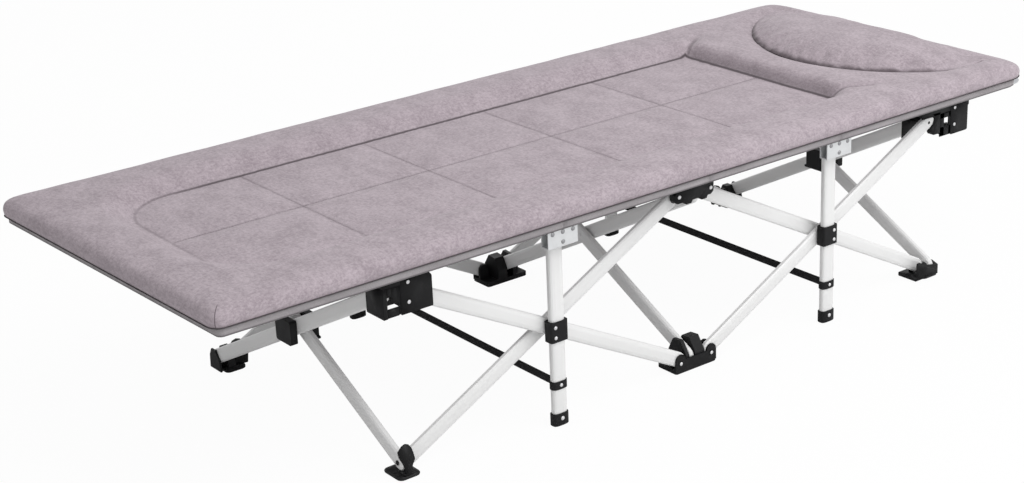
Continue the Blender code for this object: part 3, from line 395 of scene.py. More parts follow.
def end_hub(sx):
    """Box over the ends of a side strut and a cross strut, with a riveted front plate and a window beside it."""
    hub = Moulding(sx, -1)
    hub.block((0.602, 0.6775), (BACK_V, 0.3138), (0.3495, HUB_TOP))
    hub.block((0.602, 0.6775), (BACK_V, 0.2655), (BOX_LOW, BOX_ROOF))
    hub.block((0.674, 0.6775), (BACK_V, 0.3130 if sx < 0 else 0.3000), (BOX_LOW, BOX_ROOF))
    if sx < 0:
        plate = [(0.580, BOX_LOW), (0.643, BOX_LOW), (0.643, HUB_TOP), (0.602, HUB_TOP), (0.580, 0.3505)]
        hub.prism("v", plate, PLATE_V, FACE_V)
        hub.block((0.644, 0.6585), (0.264, 0.3110), (0.3200, BOX_ROOF))
        for x, z in (((0.6420, 0.6470), (0.298, BOX_ROOF)), ((0.6685, 0.6770), (BOX_LOW, BOX_ROOF)),
                     ((0.6460, 0.6690), (0.297, 0.3125)), ((0.6460, 0.6600), (0.3205, BOX_ROOF)),
                     ((0.6590, 0.6690), (0.3330, BOX_ROOF))):
            hub.block(x, (0.3100, 0.3128), z)      # frame round the window
        rivet_x, pin_end = 0.628, 0.3112
    else:
        turns = [math.radians(a) for a in range(-72, 85, 12)]
        socket = [(END_X + 0.0158 * math.cos(t), PIVOT_HIGH + 0.0158 * math.sin(t)) for t in turns]
        socket += [(0.634, BOX_ROOF), (0.6585, BOX_ROOF), (0.6585, 0.306), (0.640, 0.306)]
        hub.prism("v", socket, 0.2965, 0.3132)
        for x, z in (((0.6045, 0.6900), (0.3445, HUB_TOP)), ((0.6575, 0.6900), (0.3350, 0.347)),
                     ((0.6575, 0.6700), (0.298, 0.347)), ((0.6825, 0.6900), (0.298, 0.347)),
                     ((0.6575, 0.6900), (0.298, 0.3180))):
            hub.block(x, (0.3106, 0.3132), z)      # frame round the window
        hub.prism("v", eased((0.6885, 0.7395), (BOX_LOW, 0.374), 0.004), PLATE_V, FACE_V)
        hub.block((0.690, 0.7385), (0.297, 0.3120), (0.298, 0.3015))
        hub.block((0.7350, 0.7390), (0.297, 0.3120), (0.299, 0.372))
        hub.block((0.6755, 0.7380), (0.274, 0.3130), (0.3460, HUB_TOP))
        hub.block((0.6755, 0.6950), (0.297, 0.3130), (0.298, 0.3175))
        hub.prism("v", eased((0.7335, 0.7445), (0.346, 0.361), 0.003), 0.3080, 0.3120)
        rivet_x, pin_end = 0.699, 0.3100
    for z in (PIVOT_HIGH - 0.018, PIVOT_HIGH + 0.017):
        hub.disc("v", rivet_x, z, 0.0045, 0.3125, 0.3150)
    hub.disc("v", END_X, PIVOT_HIGH, PIN, 0.290, pin_end)
    hub.disc("v", END_X, PIVOT_HIGH, 0.006, 0.264, 0.2955)
    hub.disc("x", CROSS_V, PIVOT_HIGH, PIN, 0.657, 0.6765)
    hub.rail_post(RAIL_END)
    return hub


end_foot(-1, False).done("foot_of_foot_near", "foot_foot_near")
end_foot(1, True).done("foot_of_head_near", "foot_head_near")
for end, sx in (("foot", -1), ("head", 1)):
    end_hub(sx).done(f"hub_{end}_near", f"hub_upper_{end}_near")
for side, sy in (("near", -1), ("far", 1)):
    middle_bracket(sy).done(f"bracket_middle_{side}", f"hub_upper_middle_{side}")


# Rivets
# Domed steel heads on hubs, feet, brackets, collars, caps and straps; one Geometry Nodes tree sets a head on
# every marked point and turns it outward. Each body's rivets are one mesh.

class Recipe(Graph):
    """A Geometry Nodes tree with named inputs, used on a mesh of points and made into a mesh."""

    def __init__(self, name, **inputs):
        super().__init__(bpy.data.node_groups.new(name, "GeometryNodeTree"))
        face = self.tree.interface
        face.new_socket("Geometry", in_out="OUTPUT", socket_type="NodeSocketGeometry")
        self.keys = {"Geometry": face.new_socket("Geometry", in_out="INPUT",
                                                 socket_type="NodeSocketGeometry").identifier}
        for label, kind in dict(inputs, Material="Material").items():
            self.keys[label] = face.new_socket(label, in_out="INPUT", socket_type="NodeSocket" + kind).identifier
        self.given = self.tree.nodes.new("NodeGroupInput")

    def input(self, label):
        return Wire(self, self.given.outputs[label])

    def end(self, geometry):
        """Real mesh, smooth, in the given material."""
        solid = self.node("GeometryNodeRealizeInstances", None, {0: geometry})
        solid = self.node("GeometryNodeSetShadeSmooth", None, {0: solid, "Shade Smooth": True})
        solid = self.node("GeometryNodeSetMaterial", None, {0: solid, "Material": self.input("Material")})
        result = self.tree.nodes.new("NodeGroupOutput")
        self.tree.links.new(solid.socket, result.inputs[0])

    def make(self, name, points, finish, body, edges=(), facing=None, **values):
        """Run the tree on these points and let the result ride on a body."""
        mesh = bpy.data.meshes.new(name)
        mesh.from_pydata([tuple(p) for p in points], list(edges), [])
        if facing is not None:
            mesh.attributes.new("facing", "FLOAT_VECTOR", "POINT").data.foreach_set(
                "vector", np.array(facing, np.float32).ravel())
        made = bpy.data.objects.new(name, mesh)
        scene.collection.objects.link(made)
        worked = made.modifiers.new("recipe", "NODES")
        worked.node_group = self.tree
        for label, value in dict(values, Material=finish.material).items():
            worked[self.keys[label]] = value
        graph = bpy.context.evaluated_depsgraph_get()
        result = bpy.data.meshes.new_from_object(made.evaluated_get(graph))
        made.modifiers.clear()
        made.data = result
        bpy.data.meshes.remove(mesh)
        result.name = name
        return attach(made, body)


rivets = Recipe("rivets", Radius="Float", Tall="Float")
dome = rivets.node("GeometryNodeMeshUVSphere", None, {"Segments": 14, "Rings": 8, "Radius": 1.0})
turned = rivets.node("FunctionNodeAlignRotationToVector", {"axis": "Z"}, {
    "Vector": rivets.node("GeometryNodeInputNamedAttribute", {"data_type": "FLOAT_VECTOR"}, {"Name": "facing"})})
size = rivets.node("ShaderNodeCombineXYZ", None, {0: rivets.input("Radius"), 1: rivets.input("Radius"),
                                                  2: rivets.input("Tall")})
rivets.end(rivets.node("GeometryNodeInstanceOnPoints", None, {
    "Points": rivets.input("Geometry"), "Instance": dome, "Rotation": turned, "Scale": size}))

bright = Finish("rivet_steel", Base_Color=(0.72, 0.72, 0.73, 1), Roughness=0.32, Metallic=0.55)
bright.feed("Roughness", bright.noise(400.0) * 0.2 + 0.24)
zinc = Finish("rivet_zinc", Base_Color=(0.30, 0.30, 0.31, 1), Roughness=0.4, Metallic=0.6)
zinc.feed("Roughness", zinc.noise(400.0) * 0.2 + 0.3)

LEG_X = {"foot": -0.268, "head": 0.398}
for side, sy in (("near", -1), ("far", 1)):
    for end, sx, plate_x in (("foot", -1, -0.563), ("head", 1, 0.764)):
        leg_x = LEG_X[end]
        heads = [(f"hub_upper_{end}_{side}", FACE_V, 0.0040, bright, [(plate_x, 0.316), (plate_x, 0.351)]),
                 (f"leg_{end}_{side}", 0.3490, 0.0042, zinc,
                  [(leg_x - 0.022, 0.3695), (leg_x, 0.3695), (leg_x + 0.022, 0.3695), (leg_x, 0.3517)]),
                 (f"collar_{end}_{side}", 0.3318, 0.0035, bright,
                  [(leg_x + sx * 0.009, 0.189), (leg_x + sx * 0.009, 0.170)])]
        for body, face, radius, finish, places in heads:
            at = [(x, sy * face, z) for x, z in places]
            rivets.make(f"rivets_{body}", at, finish, body, facing=[(0, sy, 0)] * len(at),
                        Radius=radius, Tall=radius * 0.5)
        rivets.make(f"rivets_cap_{end}_{side}", [(leg_x, sy * 0.3316, 0.014)], bright, f"leg_{end}_{side}",
                    facing=[(0, sy, 0)], Radius=0.0040, Tall=0.0018)
    for body, z in ((f"hub_upper_middle_{side}", 0.3467), (f"foot_middle_{side}", 0.020)):
        at = [(MIDDLE_X + dx, sy * FACE_V, z) for dx in (-0.038, 0.038)]
        rivets.make(f"rivets_{body}", at, bright, body, facing=[(0, sy, 0)] * 2, Radius=0.0040, Tall=0.0022)


# Bed cloth
# Tight grey woven cloth over the eight rails, its edges turned down into a hem of two layers. It folds with the
# frame, so it is cut into four panels that flatten across the bed and four far hems that ride on the far rails.

CLOTH_HALF = Vector((0.9297, 0.3509))
CLOTH_MID_Z, CLOTH_THICK = 0.3892, 0.0012
HEM_INSET = np.array([0.0012, 0.0012, 0.0006, 0, 0, 0, 0, 0.0006, 0.0021, 0.0045, 0.0120])
HEM_Z = np.array([0.3790, 0.3757, 0.3747, 0.3755, 0.3775, 0.3810, 0.3865, 0.3881, 0.3889, 0.3892, 0.3892])
RAIL_JOINTS = (LEG_X["foot"], MIDDLE_X, LEG_X["head"])   # where one rail ends and the next begins
FAR_HEM, STITCH_Z, HEAD_SHORT, ASKEW = 0.009, 0.3780, 0.016, 0.024


def to_mesh(name, points, faces, finish):
    """A new smooth object from arrays of points and faces; points that no face uses are left out."""
    faces = [tuple(f) for f in faces]
    used = sorted({i for f in faces for i in f})
    place = {old: new for new, old in enumerate(used)}
    mesh = bpy.data.meshes.new(name)
    mesh.from_pydata([tuple(points[i]) for i in used], [], [tuple(place[i] for i in f) for f in faces])
    mesh.materials.append(finish.material)
    mesh.shade_smooth()
    made = bpy.data.objects.new(name, mesh)
    scene.collection.objects.link(made)
    return made


def applied(piece, kind, **settings):
    """Add one modifier and make it part of the mesh."""
    worked = piece.modifiers.new("worked", kind)
    for key, value in settings.items():
        setattr(worked, key, value)
    graph = bpy.context.evaluated_depsgraph_get()
    mesh = bpy.data.meshes.new_from_object(piece.evaluated_get(graph))
    piece.modifiers.clear()
    old, piece.data = piece.data, mesh
    mesh.name = old.name
    bpy.data.meshes.remove(old)
    return piece


def smooth(value, low, high):
    t = np.clip((value - low) / (high - low), 0, 1)
    return t * t * (3 - 2 * t)


def marks_between(low, high, marks, step):
    """Even stations about a step apart that include every mark."""
    out = [low]
    for mark in sorted(m for m in marks if low < m < high) + [high]:
        parts, start = max(1, round((mark - out[-1]) / step)), out[-1]
        out += [start + (mark - start) * k / parts for k in range(1, parts + 1)]
    return np.array(out)


def quads(ids):
    return np.stack([ids[:-1, :-1], ids[1:, :-1], ids[1:, 1:], ids[:-1, 1:]], -1).reshape(-1, 4)


def edged_grid(half, inset, corners, marks, step):
    """Grid over a round-cornered rectangle: outer rings at the insets, plain rows through the marks inside."""
    last = len(inset) - 1
    along = np.linspace(0, 1, last + 1)
    inner = [marks_between(inset[-1] - h, h - inset[-1], m, step) for h, m in zip(half, marks)]
    counts = [len(line) + 2 * last for line in inner]
    index = np.meshgrid(np.arange(counts[0]), np.arange(counts[1]), indexing="ij")
    from_edge = [np.minimum(i, n - 1 - i) for i, n in zip(index, counts)]
    ring = np.minimum(np.minimum(from_edge[0], from_edge[1]), last)
    flat = []
    for i, n, edge, line, h in zip(index, counts, from_edge, inner, half):
        share = (along[np.minimum(edge, last)] - along[ring]) / np.maximum(1 - along[ring], 1e-9)
        in_edge = h - inset[ring] - share * (inset[last] - inset[ring])
        sign = np.where(i < n / 2, -1, 1)
        flat.append(np.where(edge < last, sign * in_edge, line[np.clip(i - last, 0, len(line) - 1)]))
    x, y = flat
    radius = np.where(x < 0, *corners) * (1 - inset[ring] / inset[-1])
    over_x = np.abs(x) - (half[0] - inset[ring]) + radius
    over_y = np.abs(y) - (half[1] - inset[ring]) + radius
    turn = (over_x > 0) & (over_y > 0) & (radius > 1e-6)
    scale = np.where(turn, np.maximum(over_x, over_y) / np.maximum(np.hypot(over_x, over_y), 1e-9), 1)
    x = np.where(turn, np.sign(x) * (np.abs(x) - over_x * (1 - scale)), x)
    y = np.where(turn, np.sign(y) * (np.abs(y) - over_y * (1 - scale)), y)
    return x, y, ring


oxford = Finish("grey_oxford", Base_Color=(0.36, 0.34, 0.35, 1), Roughness=0.85, Specular_IOR_Level=0.3)
x, y, z = oxford.axes()
weave = oxford.noise(1500.0, 1.0, (1.0, 0.25, 1.0)) * 0.5 + oxford.noise(1500.0, 1.0, (0.25, 1.0, 1.0)) * 0.5
slub = oxford.noise(60.0, 3.0, (0.2, 1.0, 1.0))
tone = oxford.blend(oxford.step(weave * 0.6 + slub * 0.4, 0.42, 0.60), (0.300, 0.280, 0.290, 1),
                    (0.400, 0.375, 0.388, 1))
# Painted shade: below about 0.377 m the hem's rolled lower edge is darkened in the colour, as if in shade.
hem_painted_shade = oxford.step(z, 0.3762, 0.3782, 1.0, 0.0)
oxford.feed("Base Color", oxford.blend(hem_painted_shade, tone, (0.170, 0.158, 0.165, 1)))
oxford.bump(weave * 0.8 + slub * 0.2, 0.0006, 0.5)

thread = Finish("grey_thread", Base_Color=(0.30, 0.28, 0.29, 1), Roughness=0.8)
thread.feed("Roughness", thread.noise(900.0, 1.0) * 0.2 + 0.7)
stitches = Recipe("stitches", Pitch="Float", Long="Float", Thick="Float")
line = stitches.node("GeometryNodeMeshToCurve", None, {0: stitches.input("Geometry")})
spots = stitches.node("GeometryNodeCurveToPoints", {"mode": "LENGTH"},
                      {0: line, "Length": stitches.input("Pitch")})
bead = stitches.node("GeometryNodeMeshUVSphere", None, {"Segments": 6, "Rings": 5, "Radius": 1.0})
size = stitches.node("ShaderNodeCombineXYZ", None, {0: stitches.input("Thick"), 1: stitches.input("Thick"),
                                                    2: stitches.input("Long")})
turned = Wire(stitches, spots.socket.node.outputs["Rotation"])
stitches.end(stitches.node("GeometryNodeInstanceOnPoints", None, {
    "Points": spots, "Instance": bead, "Scale": size, "Rotation": turned}))


def askew(x, y):
    """The foot end of cloth and pad isn't quite square in the photograph: its far corner reaches further out."""
    return x - ASKEW * smooth(-x, 0.72, 0.92) * (y / 0.704 + 0.5).clip(0, 1)


def chain(*lines):
    """Points and edges of several open lines."""
    points, edges = [], []
    for one in lines:
        edges += [(len(points) + k, len(points) + k + 1) for k in range(len(one) - 1)]
        points += [tuple(p) for p in one]
    return points, edges


cx, cy, ring = edged_grid(CLOTH_HALF, HEM_INSET, (0.010, 0.030), (RAIL_JOINTS, (0,)), 0.024)
sag = 0.0022 * (1 - (cy / 0.34) ** 2).clip(0) * (1 - (cx / 0.92) ** 4).clip(0)
cz = np.where(ring < len(HEM_Z) - 1, HEM_Z[ring], CLOTH_MID_Z - sag)
cx = askew(cx - HEAD_SHORT * smooth(cx, 0.86, 0.93), cy)
cloth_points = np.stack([cx, cy, cz], -1).reshape(-1, 3)
cloth_faces = quads(np.arange(cx.size).reshape(cx.shape))
middles = cloth_points[cloth_faces].mean(1)
cuts = (-2,) + RAIL_JOINTS + (2,)
for k, rail in enumerate(("rail_foot", "rail_mid_foot", "rail_mid_head", "rail_head")):
    low, high = max(cuts[k], -CLOTH_HALF.x), min(cuts[k + 1], CLOTH_HALF.x)
    within = (middles[:, 0] > cuts[k]) & (middles[:, 0] < cuts[k + 1])
    far = middles[:, 1] > CLOTH_HALF.y - FAR_HEM
    panel = to_mesh(f"cloth_{rail}", cloth_points, cloth_faces[within & ~far], oxford)
    hem = to_mesh(f"cloth_far_hem_{rail}", cloth_points, cloth_faces[within & far], oxford)
    edge = -CLOTH_HALF.y - CLOTH_THICK / 2
    lines = [[(max(low, -0.925), edge, STITCH_Z), (min(high, 0.880), edge, STITCH_Z)]]
    if k in (0, 3):
        end_x = (CLOTH_HALF.x + CLOTH_THICK / 2) * (-1 if k == 0 else 1) - (HEAD_SHORT if k else 0)
        lines.append([(askew(end_x, np.float64(y)), y, STITCH_Z) for y in (-0.320, 0.320)])
    points, edges = chain(*lines)
    sewn = stitches.make(f"cloth_stitches_{rail}", points, thread, f"{rail}_near", edges=edges,
                         Pitch=0.0042, Long=0.0014, Thick=0.00035)
    for piece in (panel, hem):
        applied(piece, "SOLIDIFY", thickness=CLOTH_THICK, offset=0.0)
        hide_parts("bed_cloth")
    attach(panel, f"{rail}_near")
    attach(hem, f"{rail}_far")
    for piece in (panel, sewn):
        (low + high) / 2
        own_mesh(piece)
    high - low


# Straps
# Black webbing between the legs of each pair: a loop round each leg and a straight run between them.

webbing = Finish("black_webbing_cloth", Base_Color=(0.010, 0.010, 0.011, 1), Roughness=0.8, Specular_IOR_Level=0.25)
twill = webbing.noise(700.0, 2.0, (1.0, 0.3, 2.5))
webbing.feed("Base Color", webbing.blend(twill, (0.006, 0.006, 0.007, 1), (0.018, 0.018, 0.019, 1)))
webbing.bump(twill, 0.0006, 0.6)
STRAP_MID, STRAP_TALL, STRAP_HALF_LONG = 0.078, 0.0156, 0.3128
LEG_Y = 0.322
LEG_REACH, LEG_POWER = (0.0158, 0.0085), 3.2   # a loop runs round the leg as a rounded rectangle


def band(name, path, thick, closed):
    """Webbing along a level path: upright, rounded at both edges, closed at its ends."""
    path = np.array(path)
    along = np.roll(path, -1, 0) - np.roll(path, 1, 0) if closed else np.gradient(path, axis=0)
    across = np.stack([along[:, 1], -along[:, 0]], -1) / np.linalg.norm(along, axis=1)[:, None]
    half = [(0.5, -0.93), (0.5, -0.5), (0.5, 0.0), (0.5, 0.5), (0.5, 0.93), (0.25, 1.0), (-0.25, 1.0)]
    profile = half + [(-a, -b) for a, b in half]
    rows, n, last = [], len(profile), len(path)
    for p, side in zip(path, across):
        rows += [(*(p + side * thick * a), STRAP_MID + STRAP_TALL / 2 * b) for a, b in profile]
    faces = [(i * n + k, (i + 1) % last * n + k, (i + 1) % last * n + (k + 1) % n, i * n + (k + 1) % n)
             for i in range(last if closed else last - 1) for k in range(n)]
    if not closed:
        faces += [tuple(range(n)), tuple(range(len(rows) - 1, len(rows) - 1 - n, -1))]
    made = to_mesh(name, np.array(rows), faces, webbing)
    work = bmesh.new()
    work.from_mesh(made.data)
    bmesh.ops.recalc_face_normals(work, faces=work.faces)
    work.to_mesh(made.data)
    work.free()
    return made


for end, leg_x in LEG_X.items():
    loops = []
    for side, sy in (("near", -1), ("far", 1)):
        ring_path = []
        for k in range(44):
            turn = 2 * math.pi * k / 44
            c, s = math.cos(turn), math.sin(turn)
            reach = (abs(c / LEG_REACH[0]) ** LEG_POWER + abs(s / LEG_REACH[1]) ** LEG_POWER) ** (-1 / LEG_POWER)
            ring_path.append((leg_x + reach * c, sy * LEG_Y + reach * s))
        loop = band(f"strap_loop_{end}_{side}", ring_path, 0.0012, True)
        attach(loop, f"leg_{end}_{side}")
        rivets.make(f"rivets_strap_{end}_{side}", [(leg_x, sy * 0.3311, STRAP_MID)], bright,
                    f"leg_{end}_{side}", facing=[(0, sy, 0)], Radius=0.0034, Tall=0.0016)
        loops.append(loop)
    stations = np.linspace(-STRAP_HALF_LONG, STRAP_HALF_LONG, 60)
    run = band(f"strap_run_{end}", [(leg_x + 0.0006 * math.sin(9 * y), y) for y in stations], 0.0022, False)
    for piece in [run] + loops:
        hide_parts(f"strap_{end}")
    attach(run, f"leg_{end}_near")
    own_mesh(run)


# Pad
# Quilted mattress pad of heather cloth over foam: a thick roll round a flat channelled panel, a bolster across
# the head and a seat for the pillow. It lies loose on the bed cloth.

pad_low, pad_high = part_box("pad")
pad_half, CROWN = (pad_high - pad_low) / 2, pad_high.z - pad_low.z
SIDE_INSET = np.array([0.0030, 0.0012, 0.0, 0.0, 0.0012, 0.0034, 0.0075, 0.0135, 0.022, 0.033, 0.048, 0.065])
SIDE_Z = np.array([0.0, 0.0022, 0.0070, 0.0130, 0.0185, 0.0232, 0.0272, 0.0303, 0.0325, 0.0339, 0.0348, 0.0350])
SEAM, PUFF = 0.0065, 0.0110            # heights of the panel's seams and of its cells
PANEL_X, PANEL_HALF_Y = (-0.817, 0.522), 0.214
CHANNELS = (-0.561, -0.295, -0.013, 0.2635)
OVAL = (0.924, 0.290, 0.307)           # oval seam of the pillow: centre x and half axes
OVAL_REACH = 0.29                      # turns the oval's share into metres
FOLD_Y, FOLD_SLANT = 0.207, 0.62       # mitre folds where the bolster meets the roll
CORNER_FOOT, CORNER_HEAD, CORNER_PANEL = 0.020, 0.050, 0.110


def rise(t):
    """Quarter wave from a seam (0) up to the full height (1)."""
    return np.sin(np.pi / 2 * np.clip(t, 0, 1))


def beyond_panel(x, y):
    """Distance outside the panel's seam; its foot corners are round, its head corners nearly square."""
    radius = np.where(x < 0, CORNER_PANEL, 0.018)
    dx = np.abs(x - sum(PANEL_X) / 2) - (PANEL_X[1] - PANEL_X[0]) / 2 + radius
    dy = np.abs(y) - PANEL_HALF_Y + radius
    return np.hypot(np.maximum(dx, 0), np.maximum(dy, 0)) + np.minimum(np.maximum(dx, dy), 0) - radius


def beyond_oval(x, y):
    return (np.hypot((x - OVAL[0]) / OVAL[1], y / OVAL[2]) - 1) * OVAL_REACH


def valley(x):
    """Height of the pillow's seam: deep in front, fading into the roll toward the head end."""
    return 0.019 + 0.015 * smooth(x, 0.73, 0.90)


def head_slope(x):
    """The roll gets lower toward the head end's edge."""
    return 1 - 0.30 * smooth(x, 0.86, 0.945) ** 2


def pad_height(x, y):
    """Height of the unfilled pad's top above its underside."""
    panel = beyond_panel(x, y)
    channel = np.minimum(np.abs(y), -panel)
    for at in CHANNELS:
        channel = np.minimum(channel, np.abs(x - at))
    cell = SEAM + (PUFF - SEAM) * rise(channel / 0.045)
    bolster = smooth(x, PANEL_X[1] - 0.002, PANEL_X[1] + 0.002)
    roll = SEAM + (CROWN - SEAM) * rise(panel / (0.058 - 0.026 * bolster))
    oval, low = beyond_oval(x, y), valley(x)
    collar = np.where(oval < 0, low - 0.006 * smooth(-oval, 0, 0.012), low + (CROWN - low) * rise(oval / 0.050))
    crease = np.abs(np.abs(y) - FOLD_Y - FOLD_SLANT * (x - PANEL_X[1]))
    fold = 0.0110 * (1 - smooth(crease, 0, 0.015)) * bolster * (1 - smooth(x, 0.560, 0.640))
    return np.where(panel < 0, cell, np.minimum(roll, collar) - fold * rise(panel / 0.02))


def points_of(piece):
    out = np.zeros(len(piece.data.vertices) * 3)
    piece.data.vertices.foreach_get("co", out)
    return out.reshape(-1, 3)


def put_points(piece, points):
    piece.data.vertices.foreach_set("co", points.astype(np.float32).ravel())
    piece.data.update()


def fill(piece, held, cap, pressure):
    """Blow the piece up as stuffed cloth: held points stay, no point moves further than its cap."""
    start = points_of(piece)
    group = piece.vertex_groups.new(name="held")
    group.add([int(i) for i in np.flatnonzero(held)], 1.0, "REPLACE")
    cloth = piece.modifiers.new("cloth", "CLOTH")
    settings = cloth.settings
    settings.vertex_group_mass = "held"
    settings.quality = 4
    settings.mass = 0.25
    settings.tension_stiffness = settings.compression_stiffness = 12
    settings.shear_stiffness, settings.bending_stiffness = 6, 0.25
    settings.shrink_min = -0.03
    settings.use_pressure = True
    settings.uniform_pressure_force = pressure
    settings.effector_weights.gravity = 0
    cloth.collision_settings.use_self_collision = False
    cloth.collision_settings.use_collision = False
    for at in range(1, 21):
        scene.frame_set(at)
    move = points_of(piece.evaluated_get(bpy.context.evaluated_depsgraph_get())) - start
    piece.modifiers.remove(cloth)
    scene.frame_set(1)
    length = np.maximum(np.linalg.norm(move, axis=1), 1e-9)
    put_points(piece, start + move * (cap * np.tanh(length / cap) / length)[:, None])


def heather_looks(finish, painted_crease_shade):
    """Mottled brushed yarn with paler and darker flecks, and painted shade that darkens the sewn creases."""
    flecks = finish.noise(230.0, 5.0, (1.0, 0.5, 1.0), 0.8)
    cross = finish.noise(300.0, 3.0, (0.4, 1.0, 1.0), 0.7)
    clouds = finish.noise(26.0, 3.0, (1.0, 0.6, 1.0))
    threads = finish.noise(900.0, 2.0)
    shade = finish.blend(finish.step(flecks * 0.5 + cross * 0.3 + clouds * 0.2, 0.36, 0.64),
                         (0.305, 0.257, 0.284, 1), (0.505, 0.435, 0.474, 1))
    # Painted shade: along the given crease mask the colour is darkened toward near black.
    shade = finish.blend(painted_crease_shade, shade, (0.070, 0.055, 0.062, 1))
    finish.feed("Base Color", shade)
    finish.bump(flecks * 0.4 + cross * 0.2 + threads * 0.4, 0.0012, 0.6)


BRUSHED = dict(Base_Color=(0.43, 0.37, 0.40, 1), Roughness=0.95, Sheen_Weight=0.15, Sheen_Roughness=0.5,
               Specular_IOR_Level=0.2)
heather = Finish("heather_cloth", **BRUSHED)
x, y, z = heather.axes()
# Painted shade: the mask built here darkens the channel lines, the panel's seam, a strip behind the bolster's front
# seam, the mitre folds, the foot corners' seams and the pad's lowest edge.
to_channel = abs(y)
for at in CHANNELS:
    to_channel = to_channel.least(abs(x - at))
middle, half_long = sum(PANEL_X) / 2, (PANEL_X[1] - PANEL_X[0]) / 2
dx, dy = abs(x - middle) - (half_long - CORNER_PANEL), abs(y) - (PANEL_HALF_Y - CORNER_PANEL)
rounded = (dx.most(0.0) ** 2 + dy.most(0.0) ** 2) ** 0.5 + dx.most(dy).least(0.0) - CORNER_PANEL
square = (abs(x - middle) - half_long).most(abs(y) - PANEL_HALF_Y)
is_head = heather.step(x, -0.01, 0.01)
to_seam = abs(rounded * (1.0 - is_head) + square * is_head)
# The panel seam's painted shade is fainter toward the foot end and the near side.
strength = heather.step(x, -0.80, -0.60, 0.35, 1.0) * heather.step(y, -0.21, 0.10, 0.45, 1.0)
strength = strength.most(heather.step(abs(x - PANEL_X[1]), 0.002, 0.006, 1.0, 0.0))
lines = heather.step(to_channel, 0.0004, 0.0060, 0.24, 0.0) * heather.step(square, -0.004, 0.0, 1.0, 0.0)
lines = lines.most(heather.step(to_seam, 0.0010, 0.0046, 0.90, 0.0) * strength)
# Painted shade: a soft dark strip just behind the bolster's front seam.
painted_shade_behind_bolster = heather.step(x, PANEL_X[1] - 0.001, PANEL_X[1]) * heather.step(
    x, PANEL_X[1], PANEL_X[1] + 0.030, 0.42, 0.0)
lines = lines.most(painted_shade_behind_bolster * heather.step(abs(y), 0.200, 0.225, 1.0, 0.0))
slant = abs(abs(y) - FOLD_Y - (x - PANEL_X[1]) * FOLD_SLANT)
lines = lines.most(heather.step(slant, 0.001, 0.009, 0.55, 0.0) * heather.step(x, 0.522, 0.526)
                   * heather.step(x, 0.550, 0.620, 1.0, 0.0))
lines = lines * heather.step(z, pad_low.z + 0.003, pad_low.z + 0.005)
corner = abs(0.0 - x - pad_half.x + pad_half.y - abs(y))
lines = lines.most(heather.step(corner, 0.0004, 0.0016, 0.75, 0.0) * heather.step(x, -0.922, -0.916, 1.0, 0.0)
                   * heather.step(z, pad_low.z + 0.030, pad_low.z + 0.0335, 1.0, 0.0))
# The last term paints shade along the pad's lowest edge, where it meets the bed cloth.
heather_looks(heather, lines.most(heather.step(z, pad_low.z + 0.0004, pad_low.z + 0.0012, 0.7, 0.0)))

gx, gy, ring = edged_grid((pad_half.x, pad_half.y), SIDE_INSET, (CORNER_FOOT, CORNER_HEAD),
                          (CHANNELS + PANEL_X + (0.5645,), (-PANEL_HALF_Y, 0, PANEL_HALF_Y)), 0.0095)
gz = np.where(ring < len(SIDE_Z) - 1, SIDE_Z[ring], pad_height(gx, gy))
gz = pad_low.z + gz * head_slope(gx)
edge = ring == 0
upper = np.arange(gx.size).reshape(gx.shape)
lower = upper.copy()
lower[~edge] = gx.size + np.arange((~edge).sum())
top = np.stack([gx, gy, gz], -1)
under = top[~edge] * (1, 1, 0) + (0, 0, pad_low.z)
pad = to_mesh("pad_cushion", np.concatenate([top.reshape(-1, 3), under]),
              np.concatenate([quads(upper), quads(lower)[:, ::-1]]), heather)
rest = points_of(pad)
panel, oval = beyond_panel(rest[:, 0], rest[:, 1]), beyond_oval(rest[:, 0], rest[:, 1])
held = (np.abs(panel) < 0.005) | (oval < 0.006) | (rest[:, 2] < pad_low.z + 0.002)
for distance in [np.abs(rest[:, 1])] + [np.abs(rest[:, 0] - at) for at in CHANNELS]:
    held |= (distance < 0.002) & (panel < 0)
fill(pad, held, np.where(panel < 0, 0.0035, 0.006), 4.0)
applied(pad, "SUBSURF", levels=1, render_levels=1)
final = points_of(pad)
loose = smooth(final[:, 2], pad_low.z + 0.003, pad_low.z + 0.012)
uneven = np.array([noise.noise(Vector(p) * 9.0) + 0.5 * noise.noise(Vector((p[0] * 22, p[1] * 34, p[2] * 22)))
                   for p in final])
pucker = np.array([noise.noise(Vector((p[0] * 95, p[1] * 60, 3.0))) for p in final])
near_seam = np.exp(-(beyond_panel(final[:, 0], final[:, 1]) / 0.030) ** 2)
final[:, 2] += loose * (0.0011 * uneven + 0.0010 * pucker * near_seam)
final[:, 0] = askew(final[:, 0], final[:, 1])
put_points(pad, final)
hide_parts("pad")
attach(pad, "pad")

piping = Finish("pad_piping", Base_Color=(0.150, 0.130, 0.140, 1), Roughness=0.85)
piping.feed("Roughness", piping.noise(700.0, 1.0) * 0.2 + 0.7)
cords = Recipe("cords", Thick="Float")
line = cords.node("GeometryNodeMeshToCurve", None, {0: cords.input("Geometry")})
circle = cords.node("GeometryNodeCurvePrimitiveCircle", None, {"Resolution": 8, "Radius": cords.input("Thick")})
cords.end(cords.node("GeometryNodeCurveToMesh", None, {0: line, 1: circle, "Fill Caps": True}))


def rim(inset, z):
    """Closed line round the pad at a distance inside its edge."""
    out = []
    for sx, sy, corner in ((1, -1, CORNER_HEAD), (1, 1, CORNER_HEAD),
                           (-1, 1, CORNER_FOOT), (-1, -1, CORNER_FOOT)):
        start, reach = math.atan2(sy, sx) - math.pi / 4, corner - inset
        for k in range(9):
            turn = start + math.pi / 2 * k / 8
            out.append((sx * (pad_half.x - corner) + reach * math.cos(turn),
                        sy * (pad_half.y - corner) + reach * math.sin(turn), z))
    return out


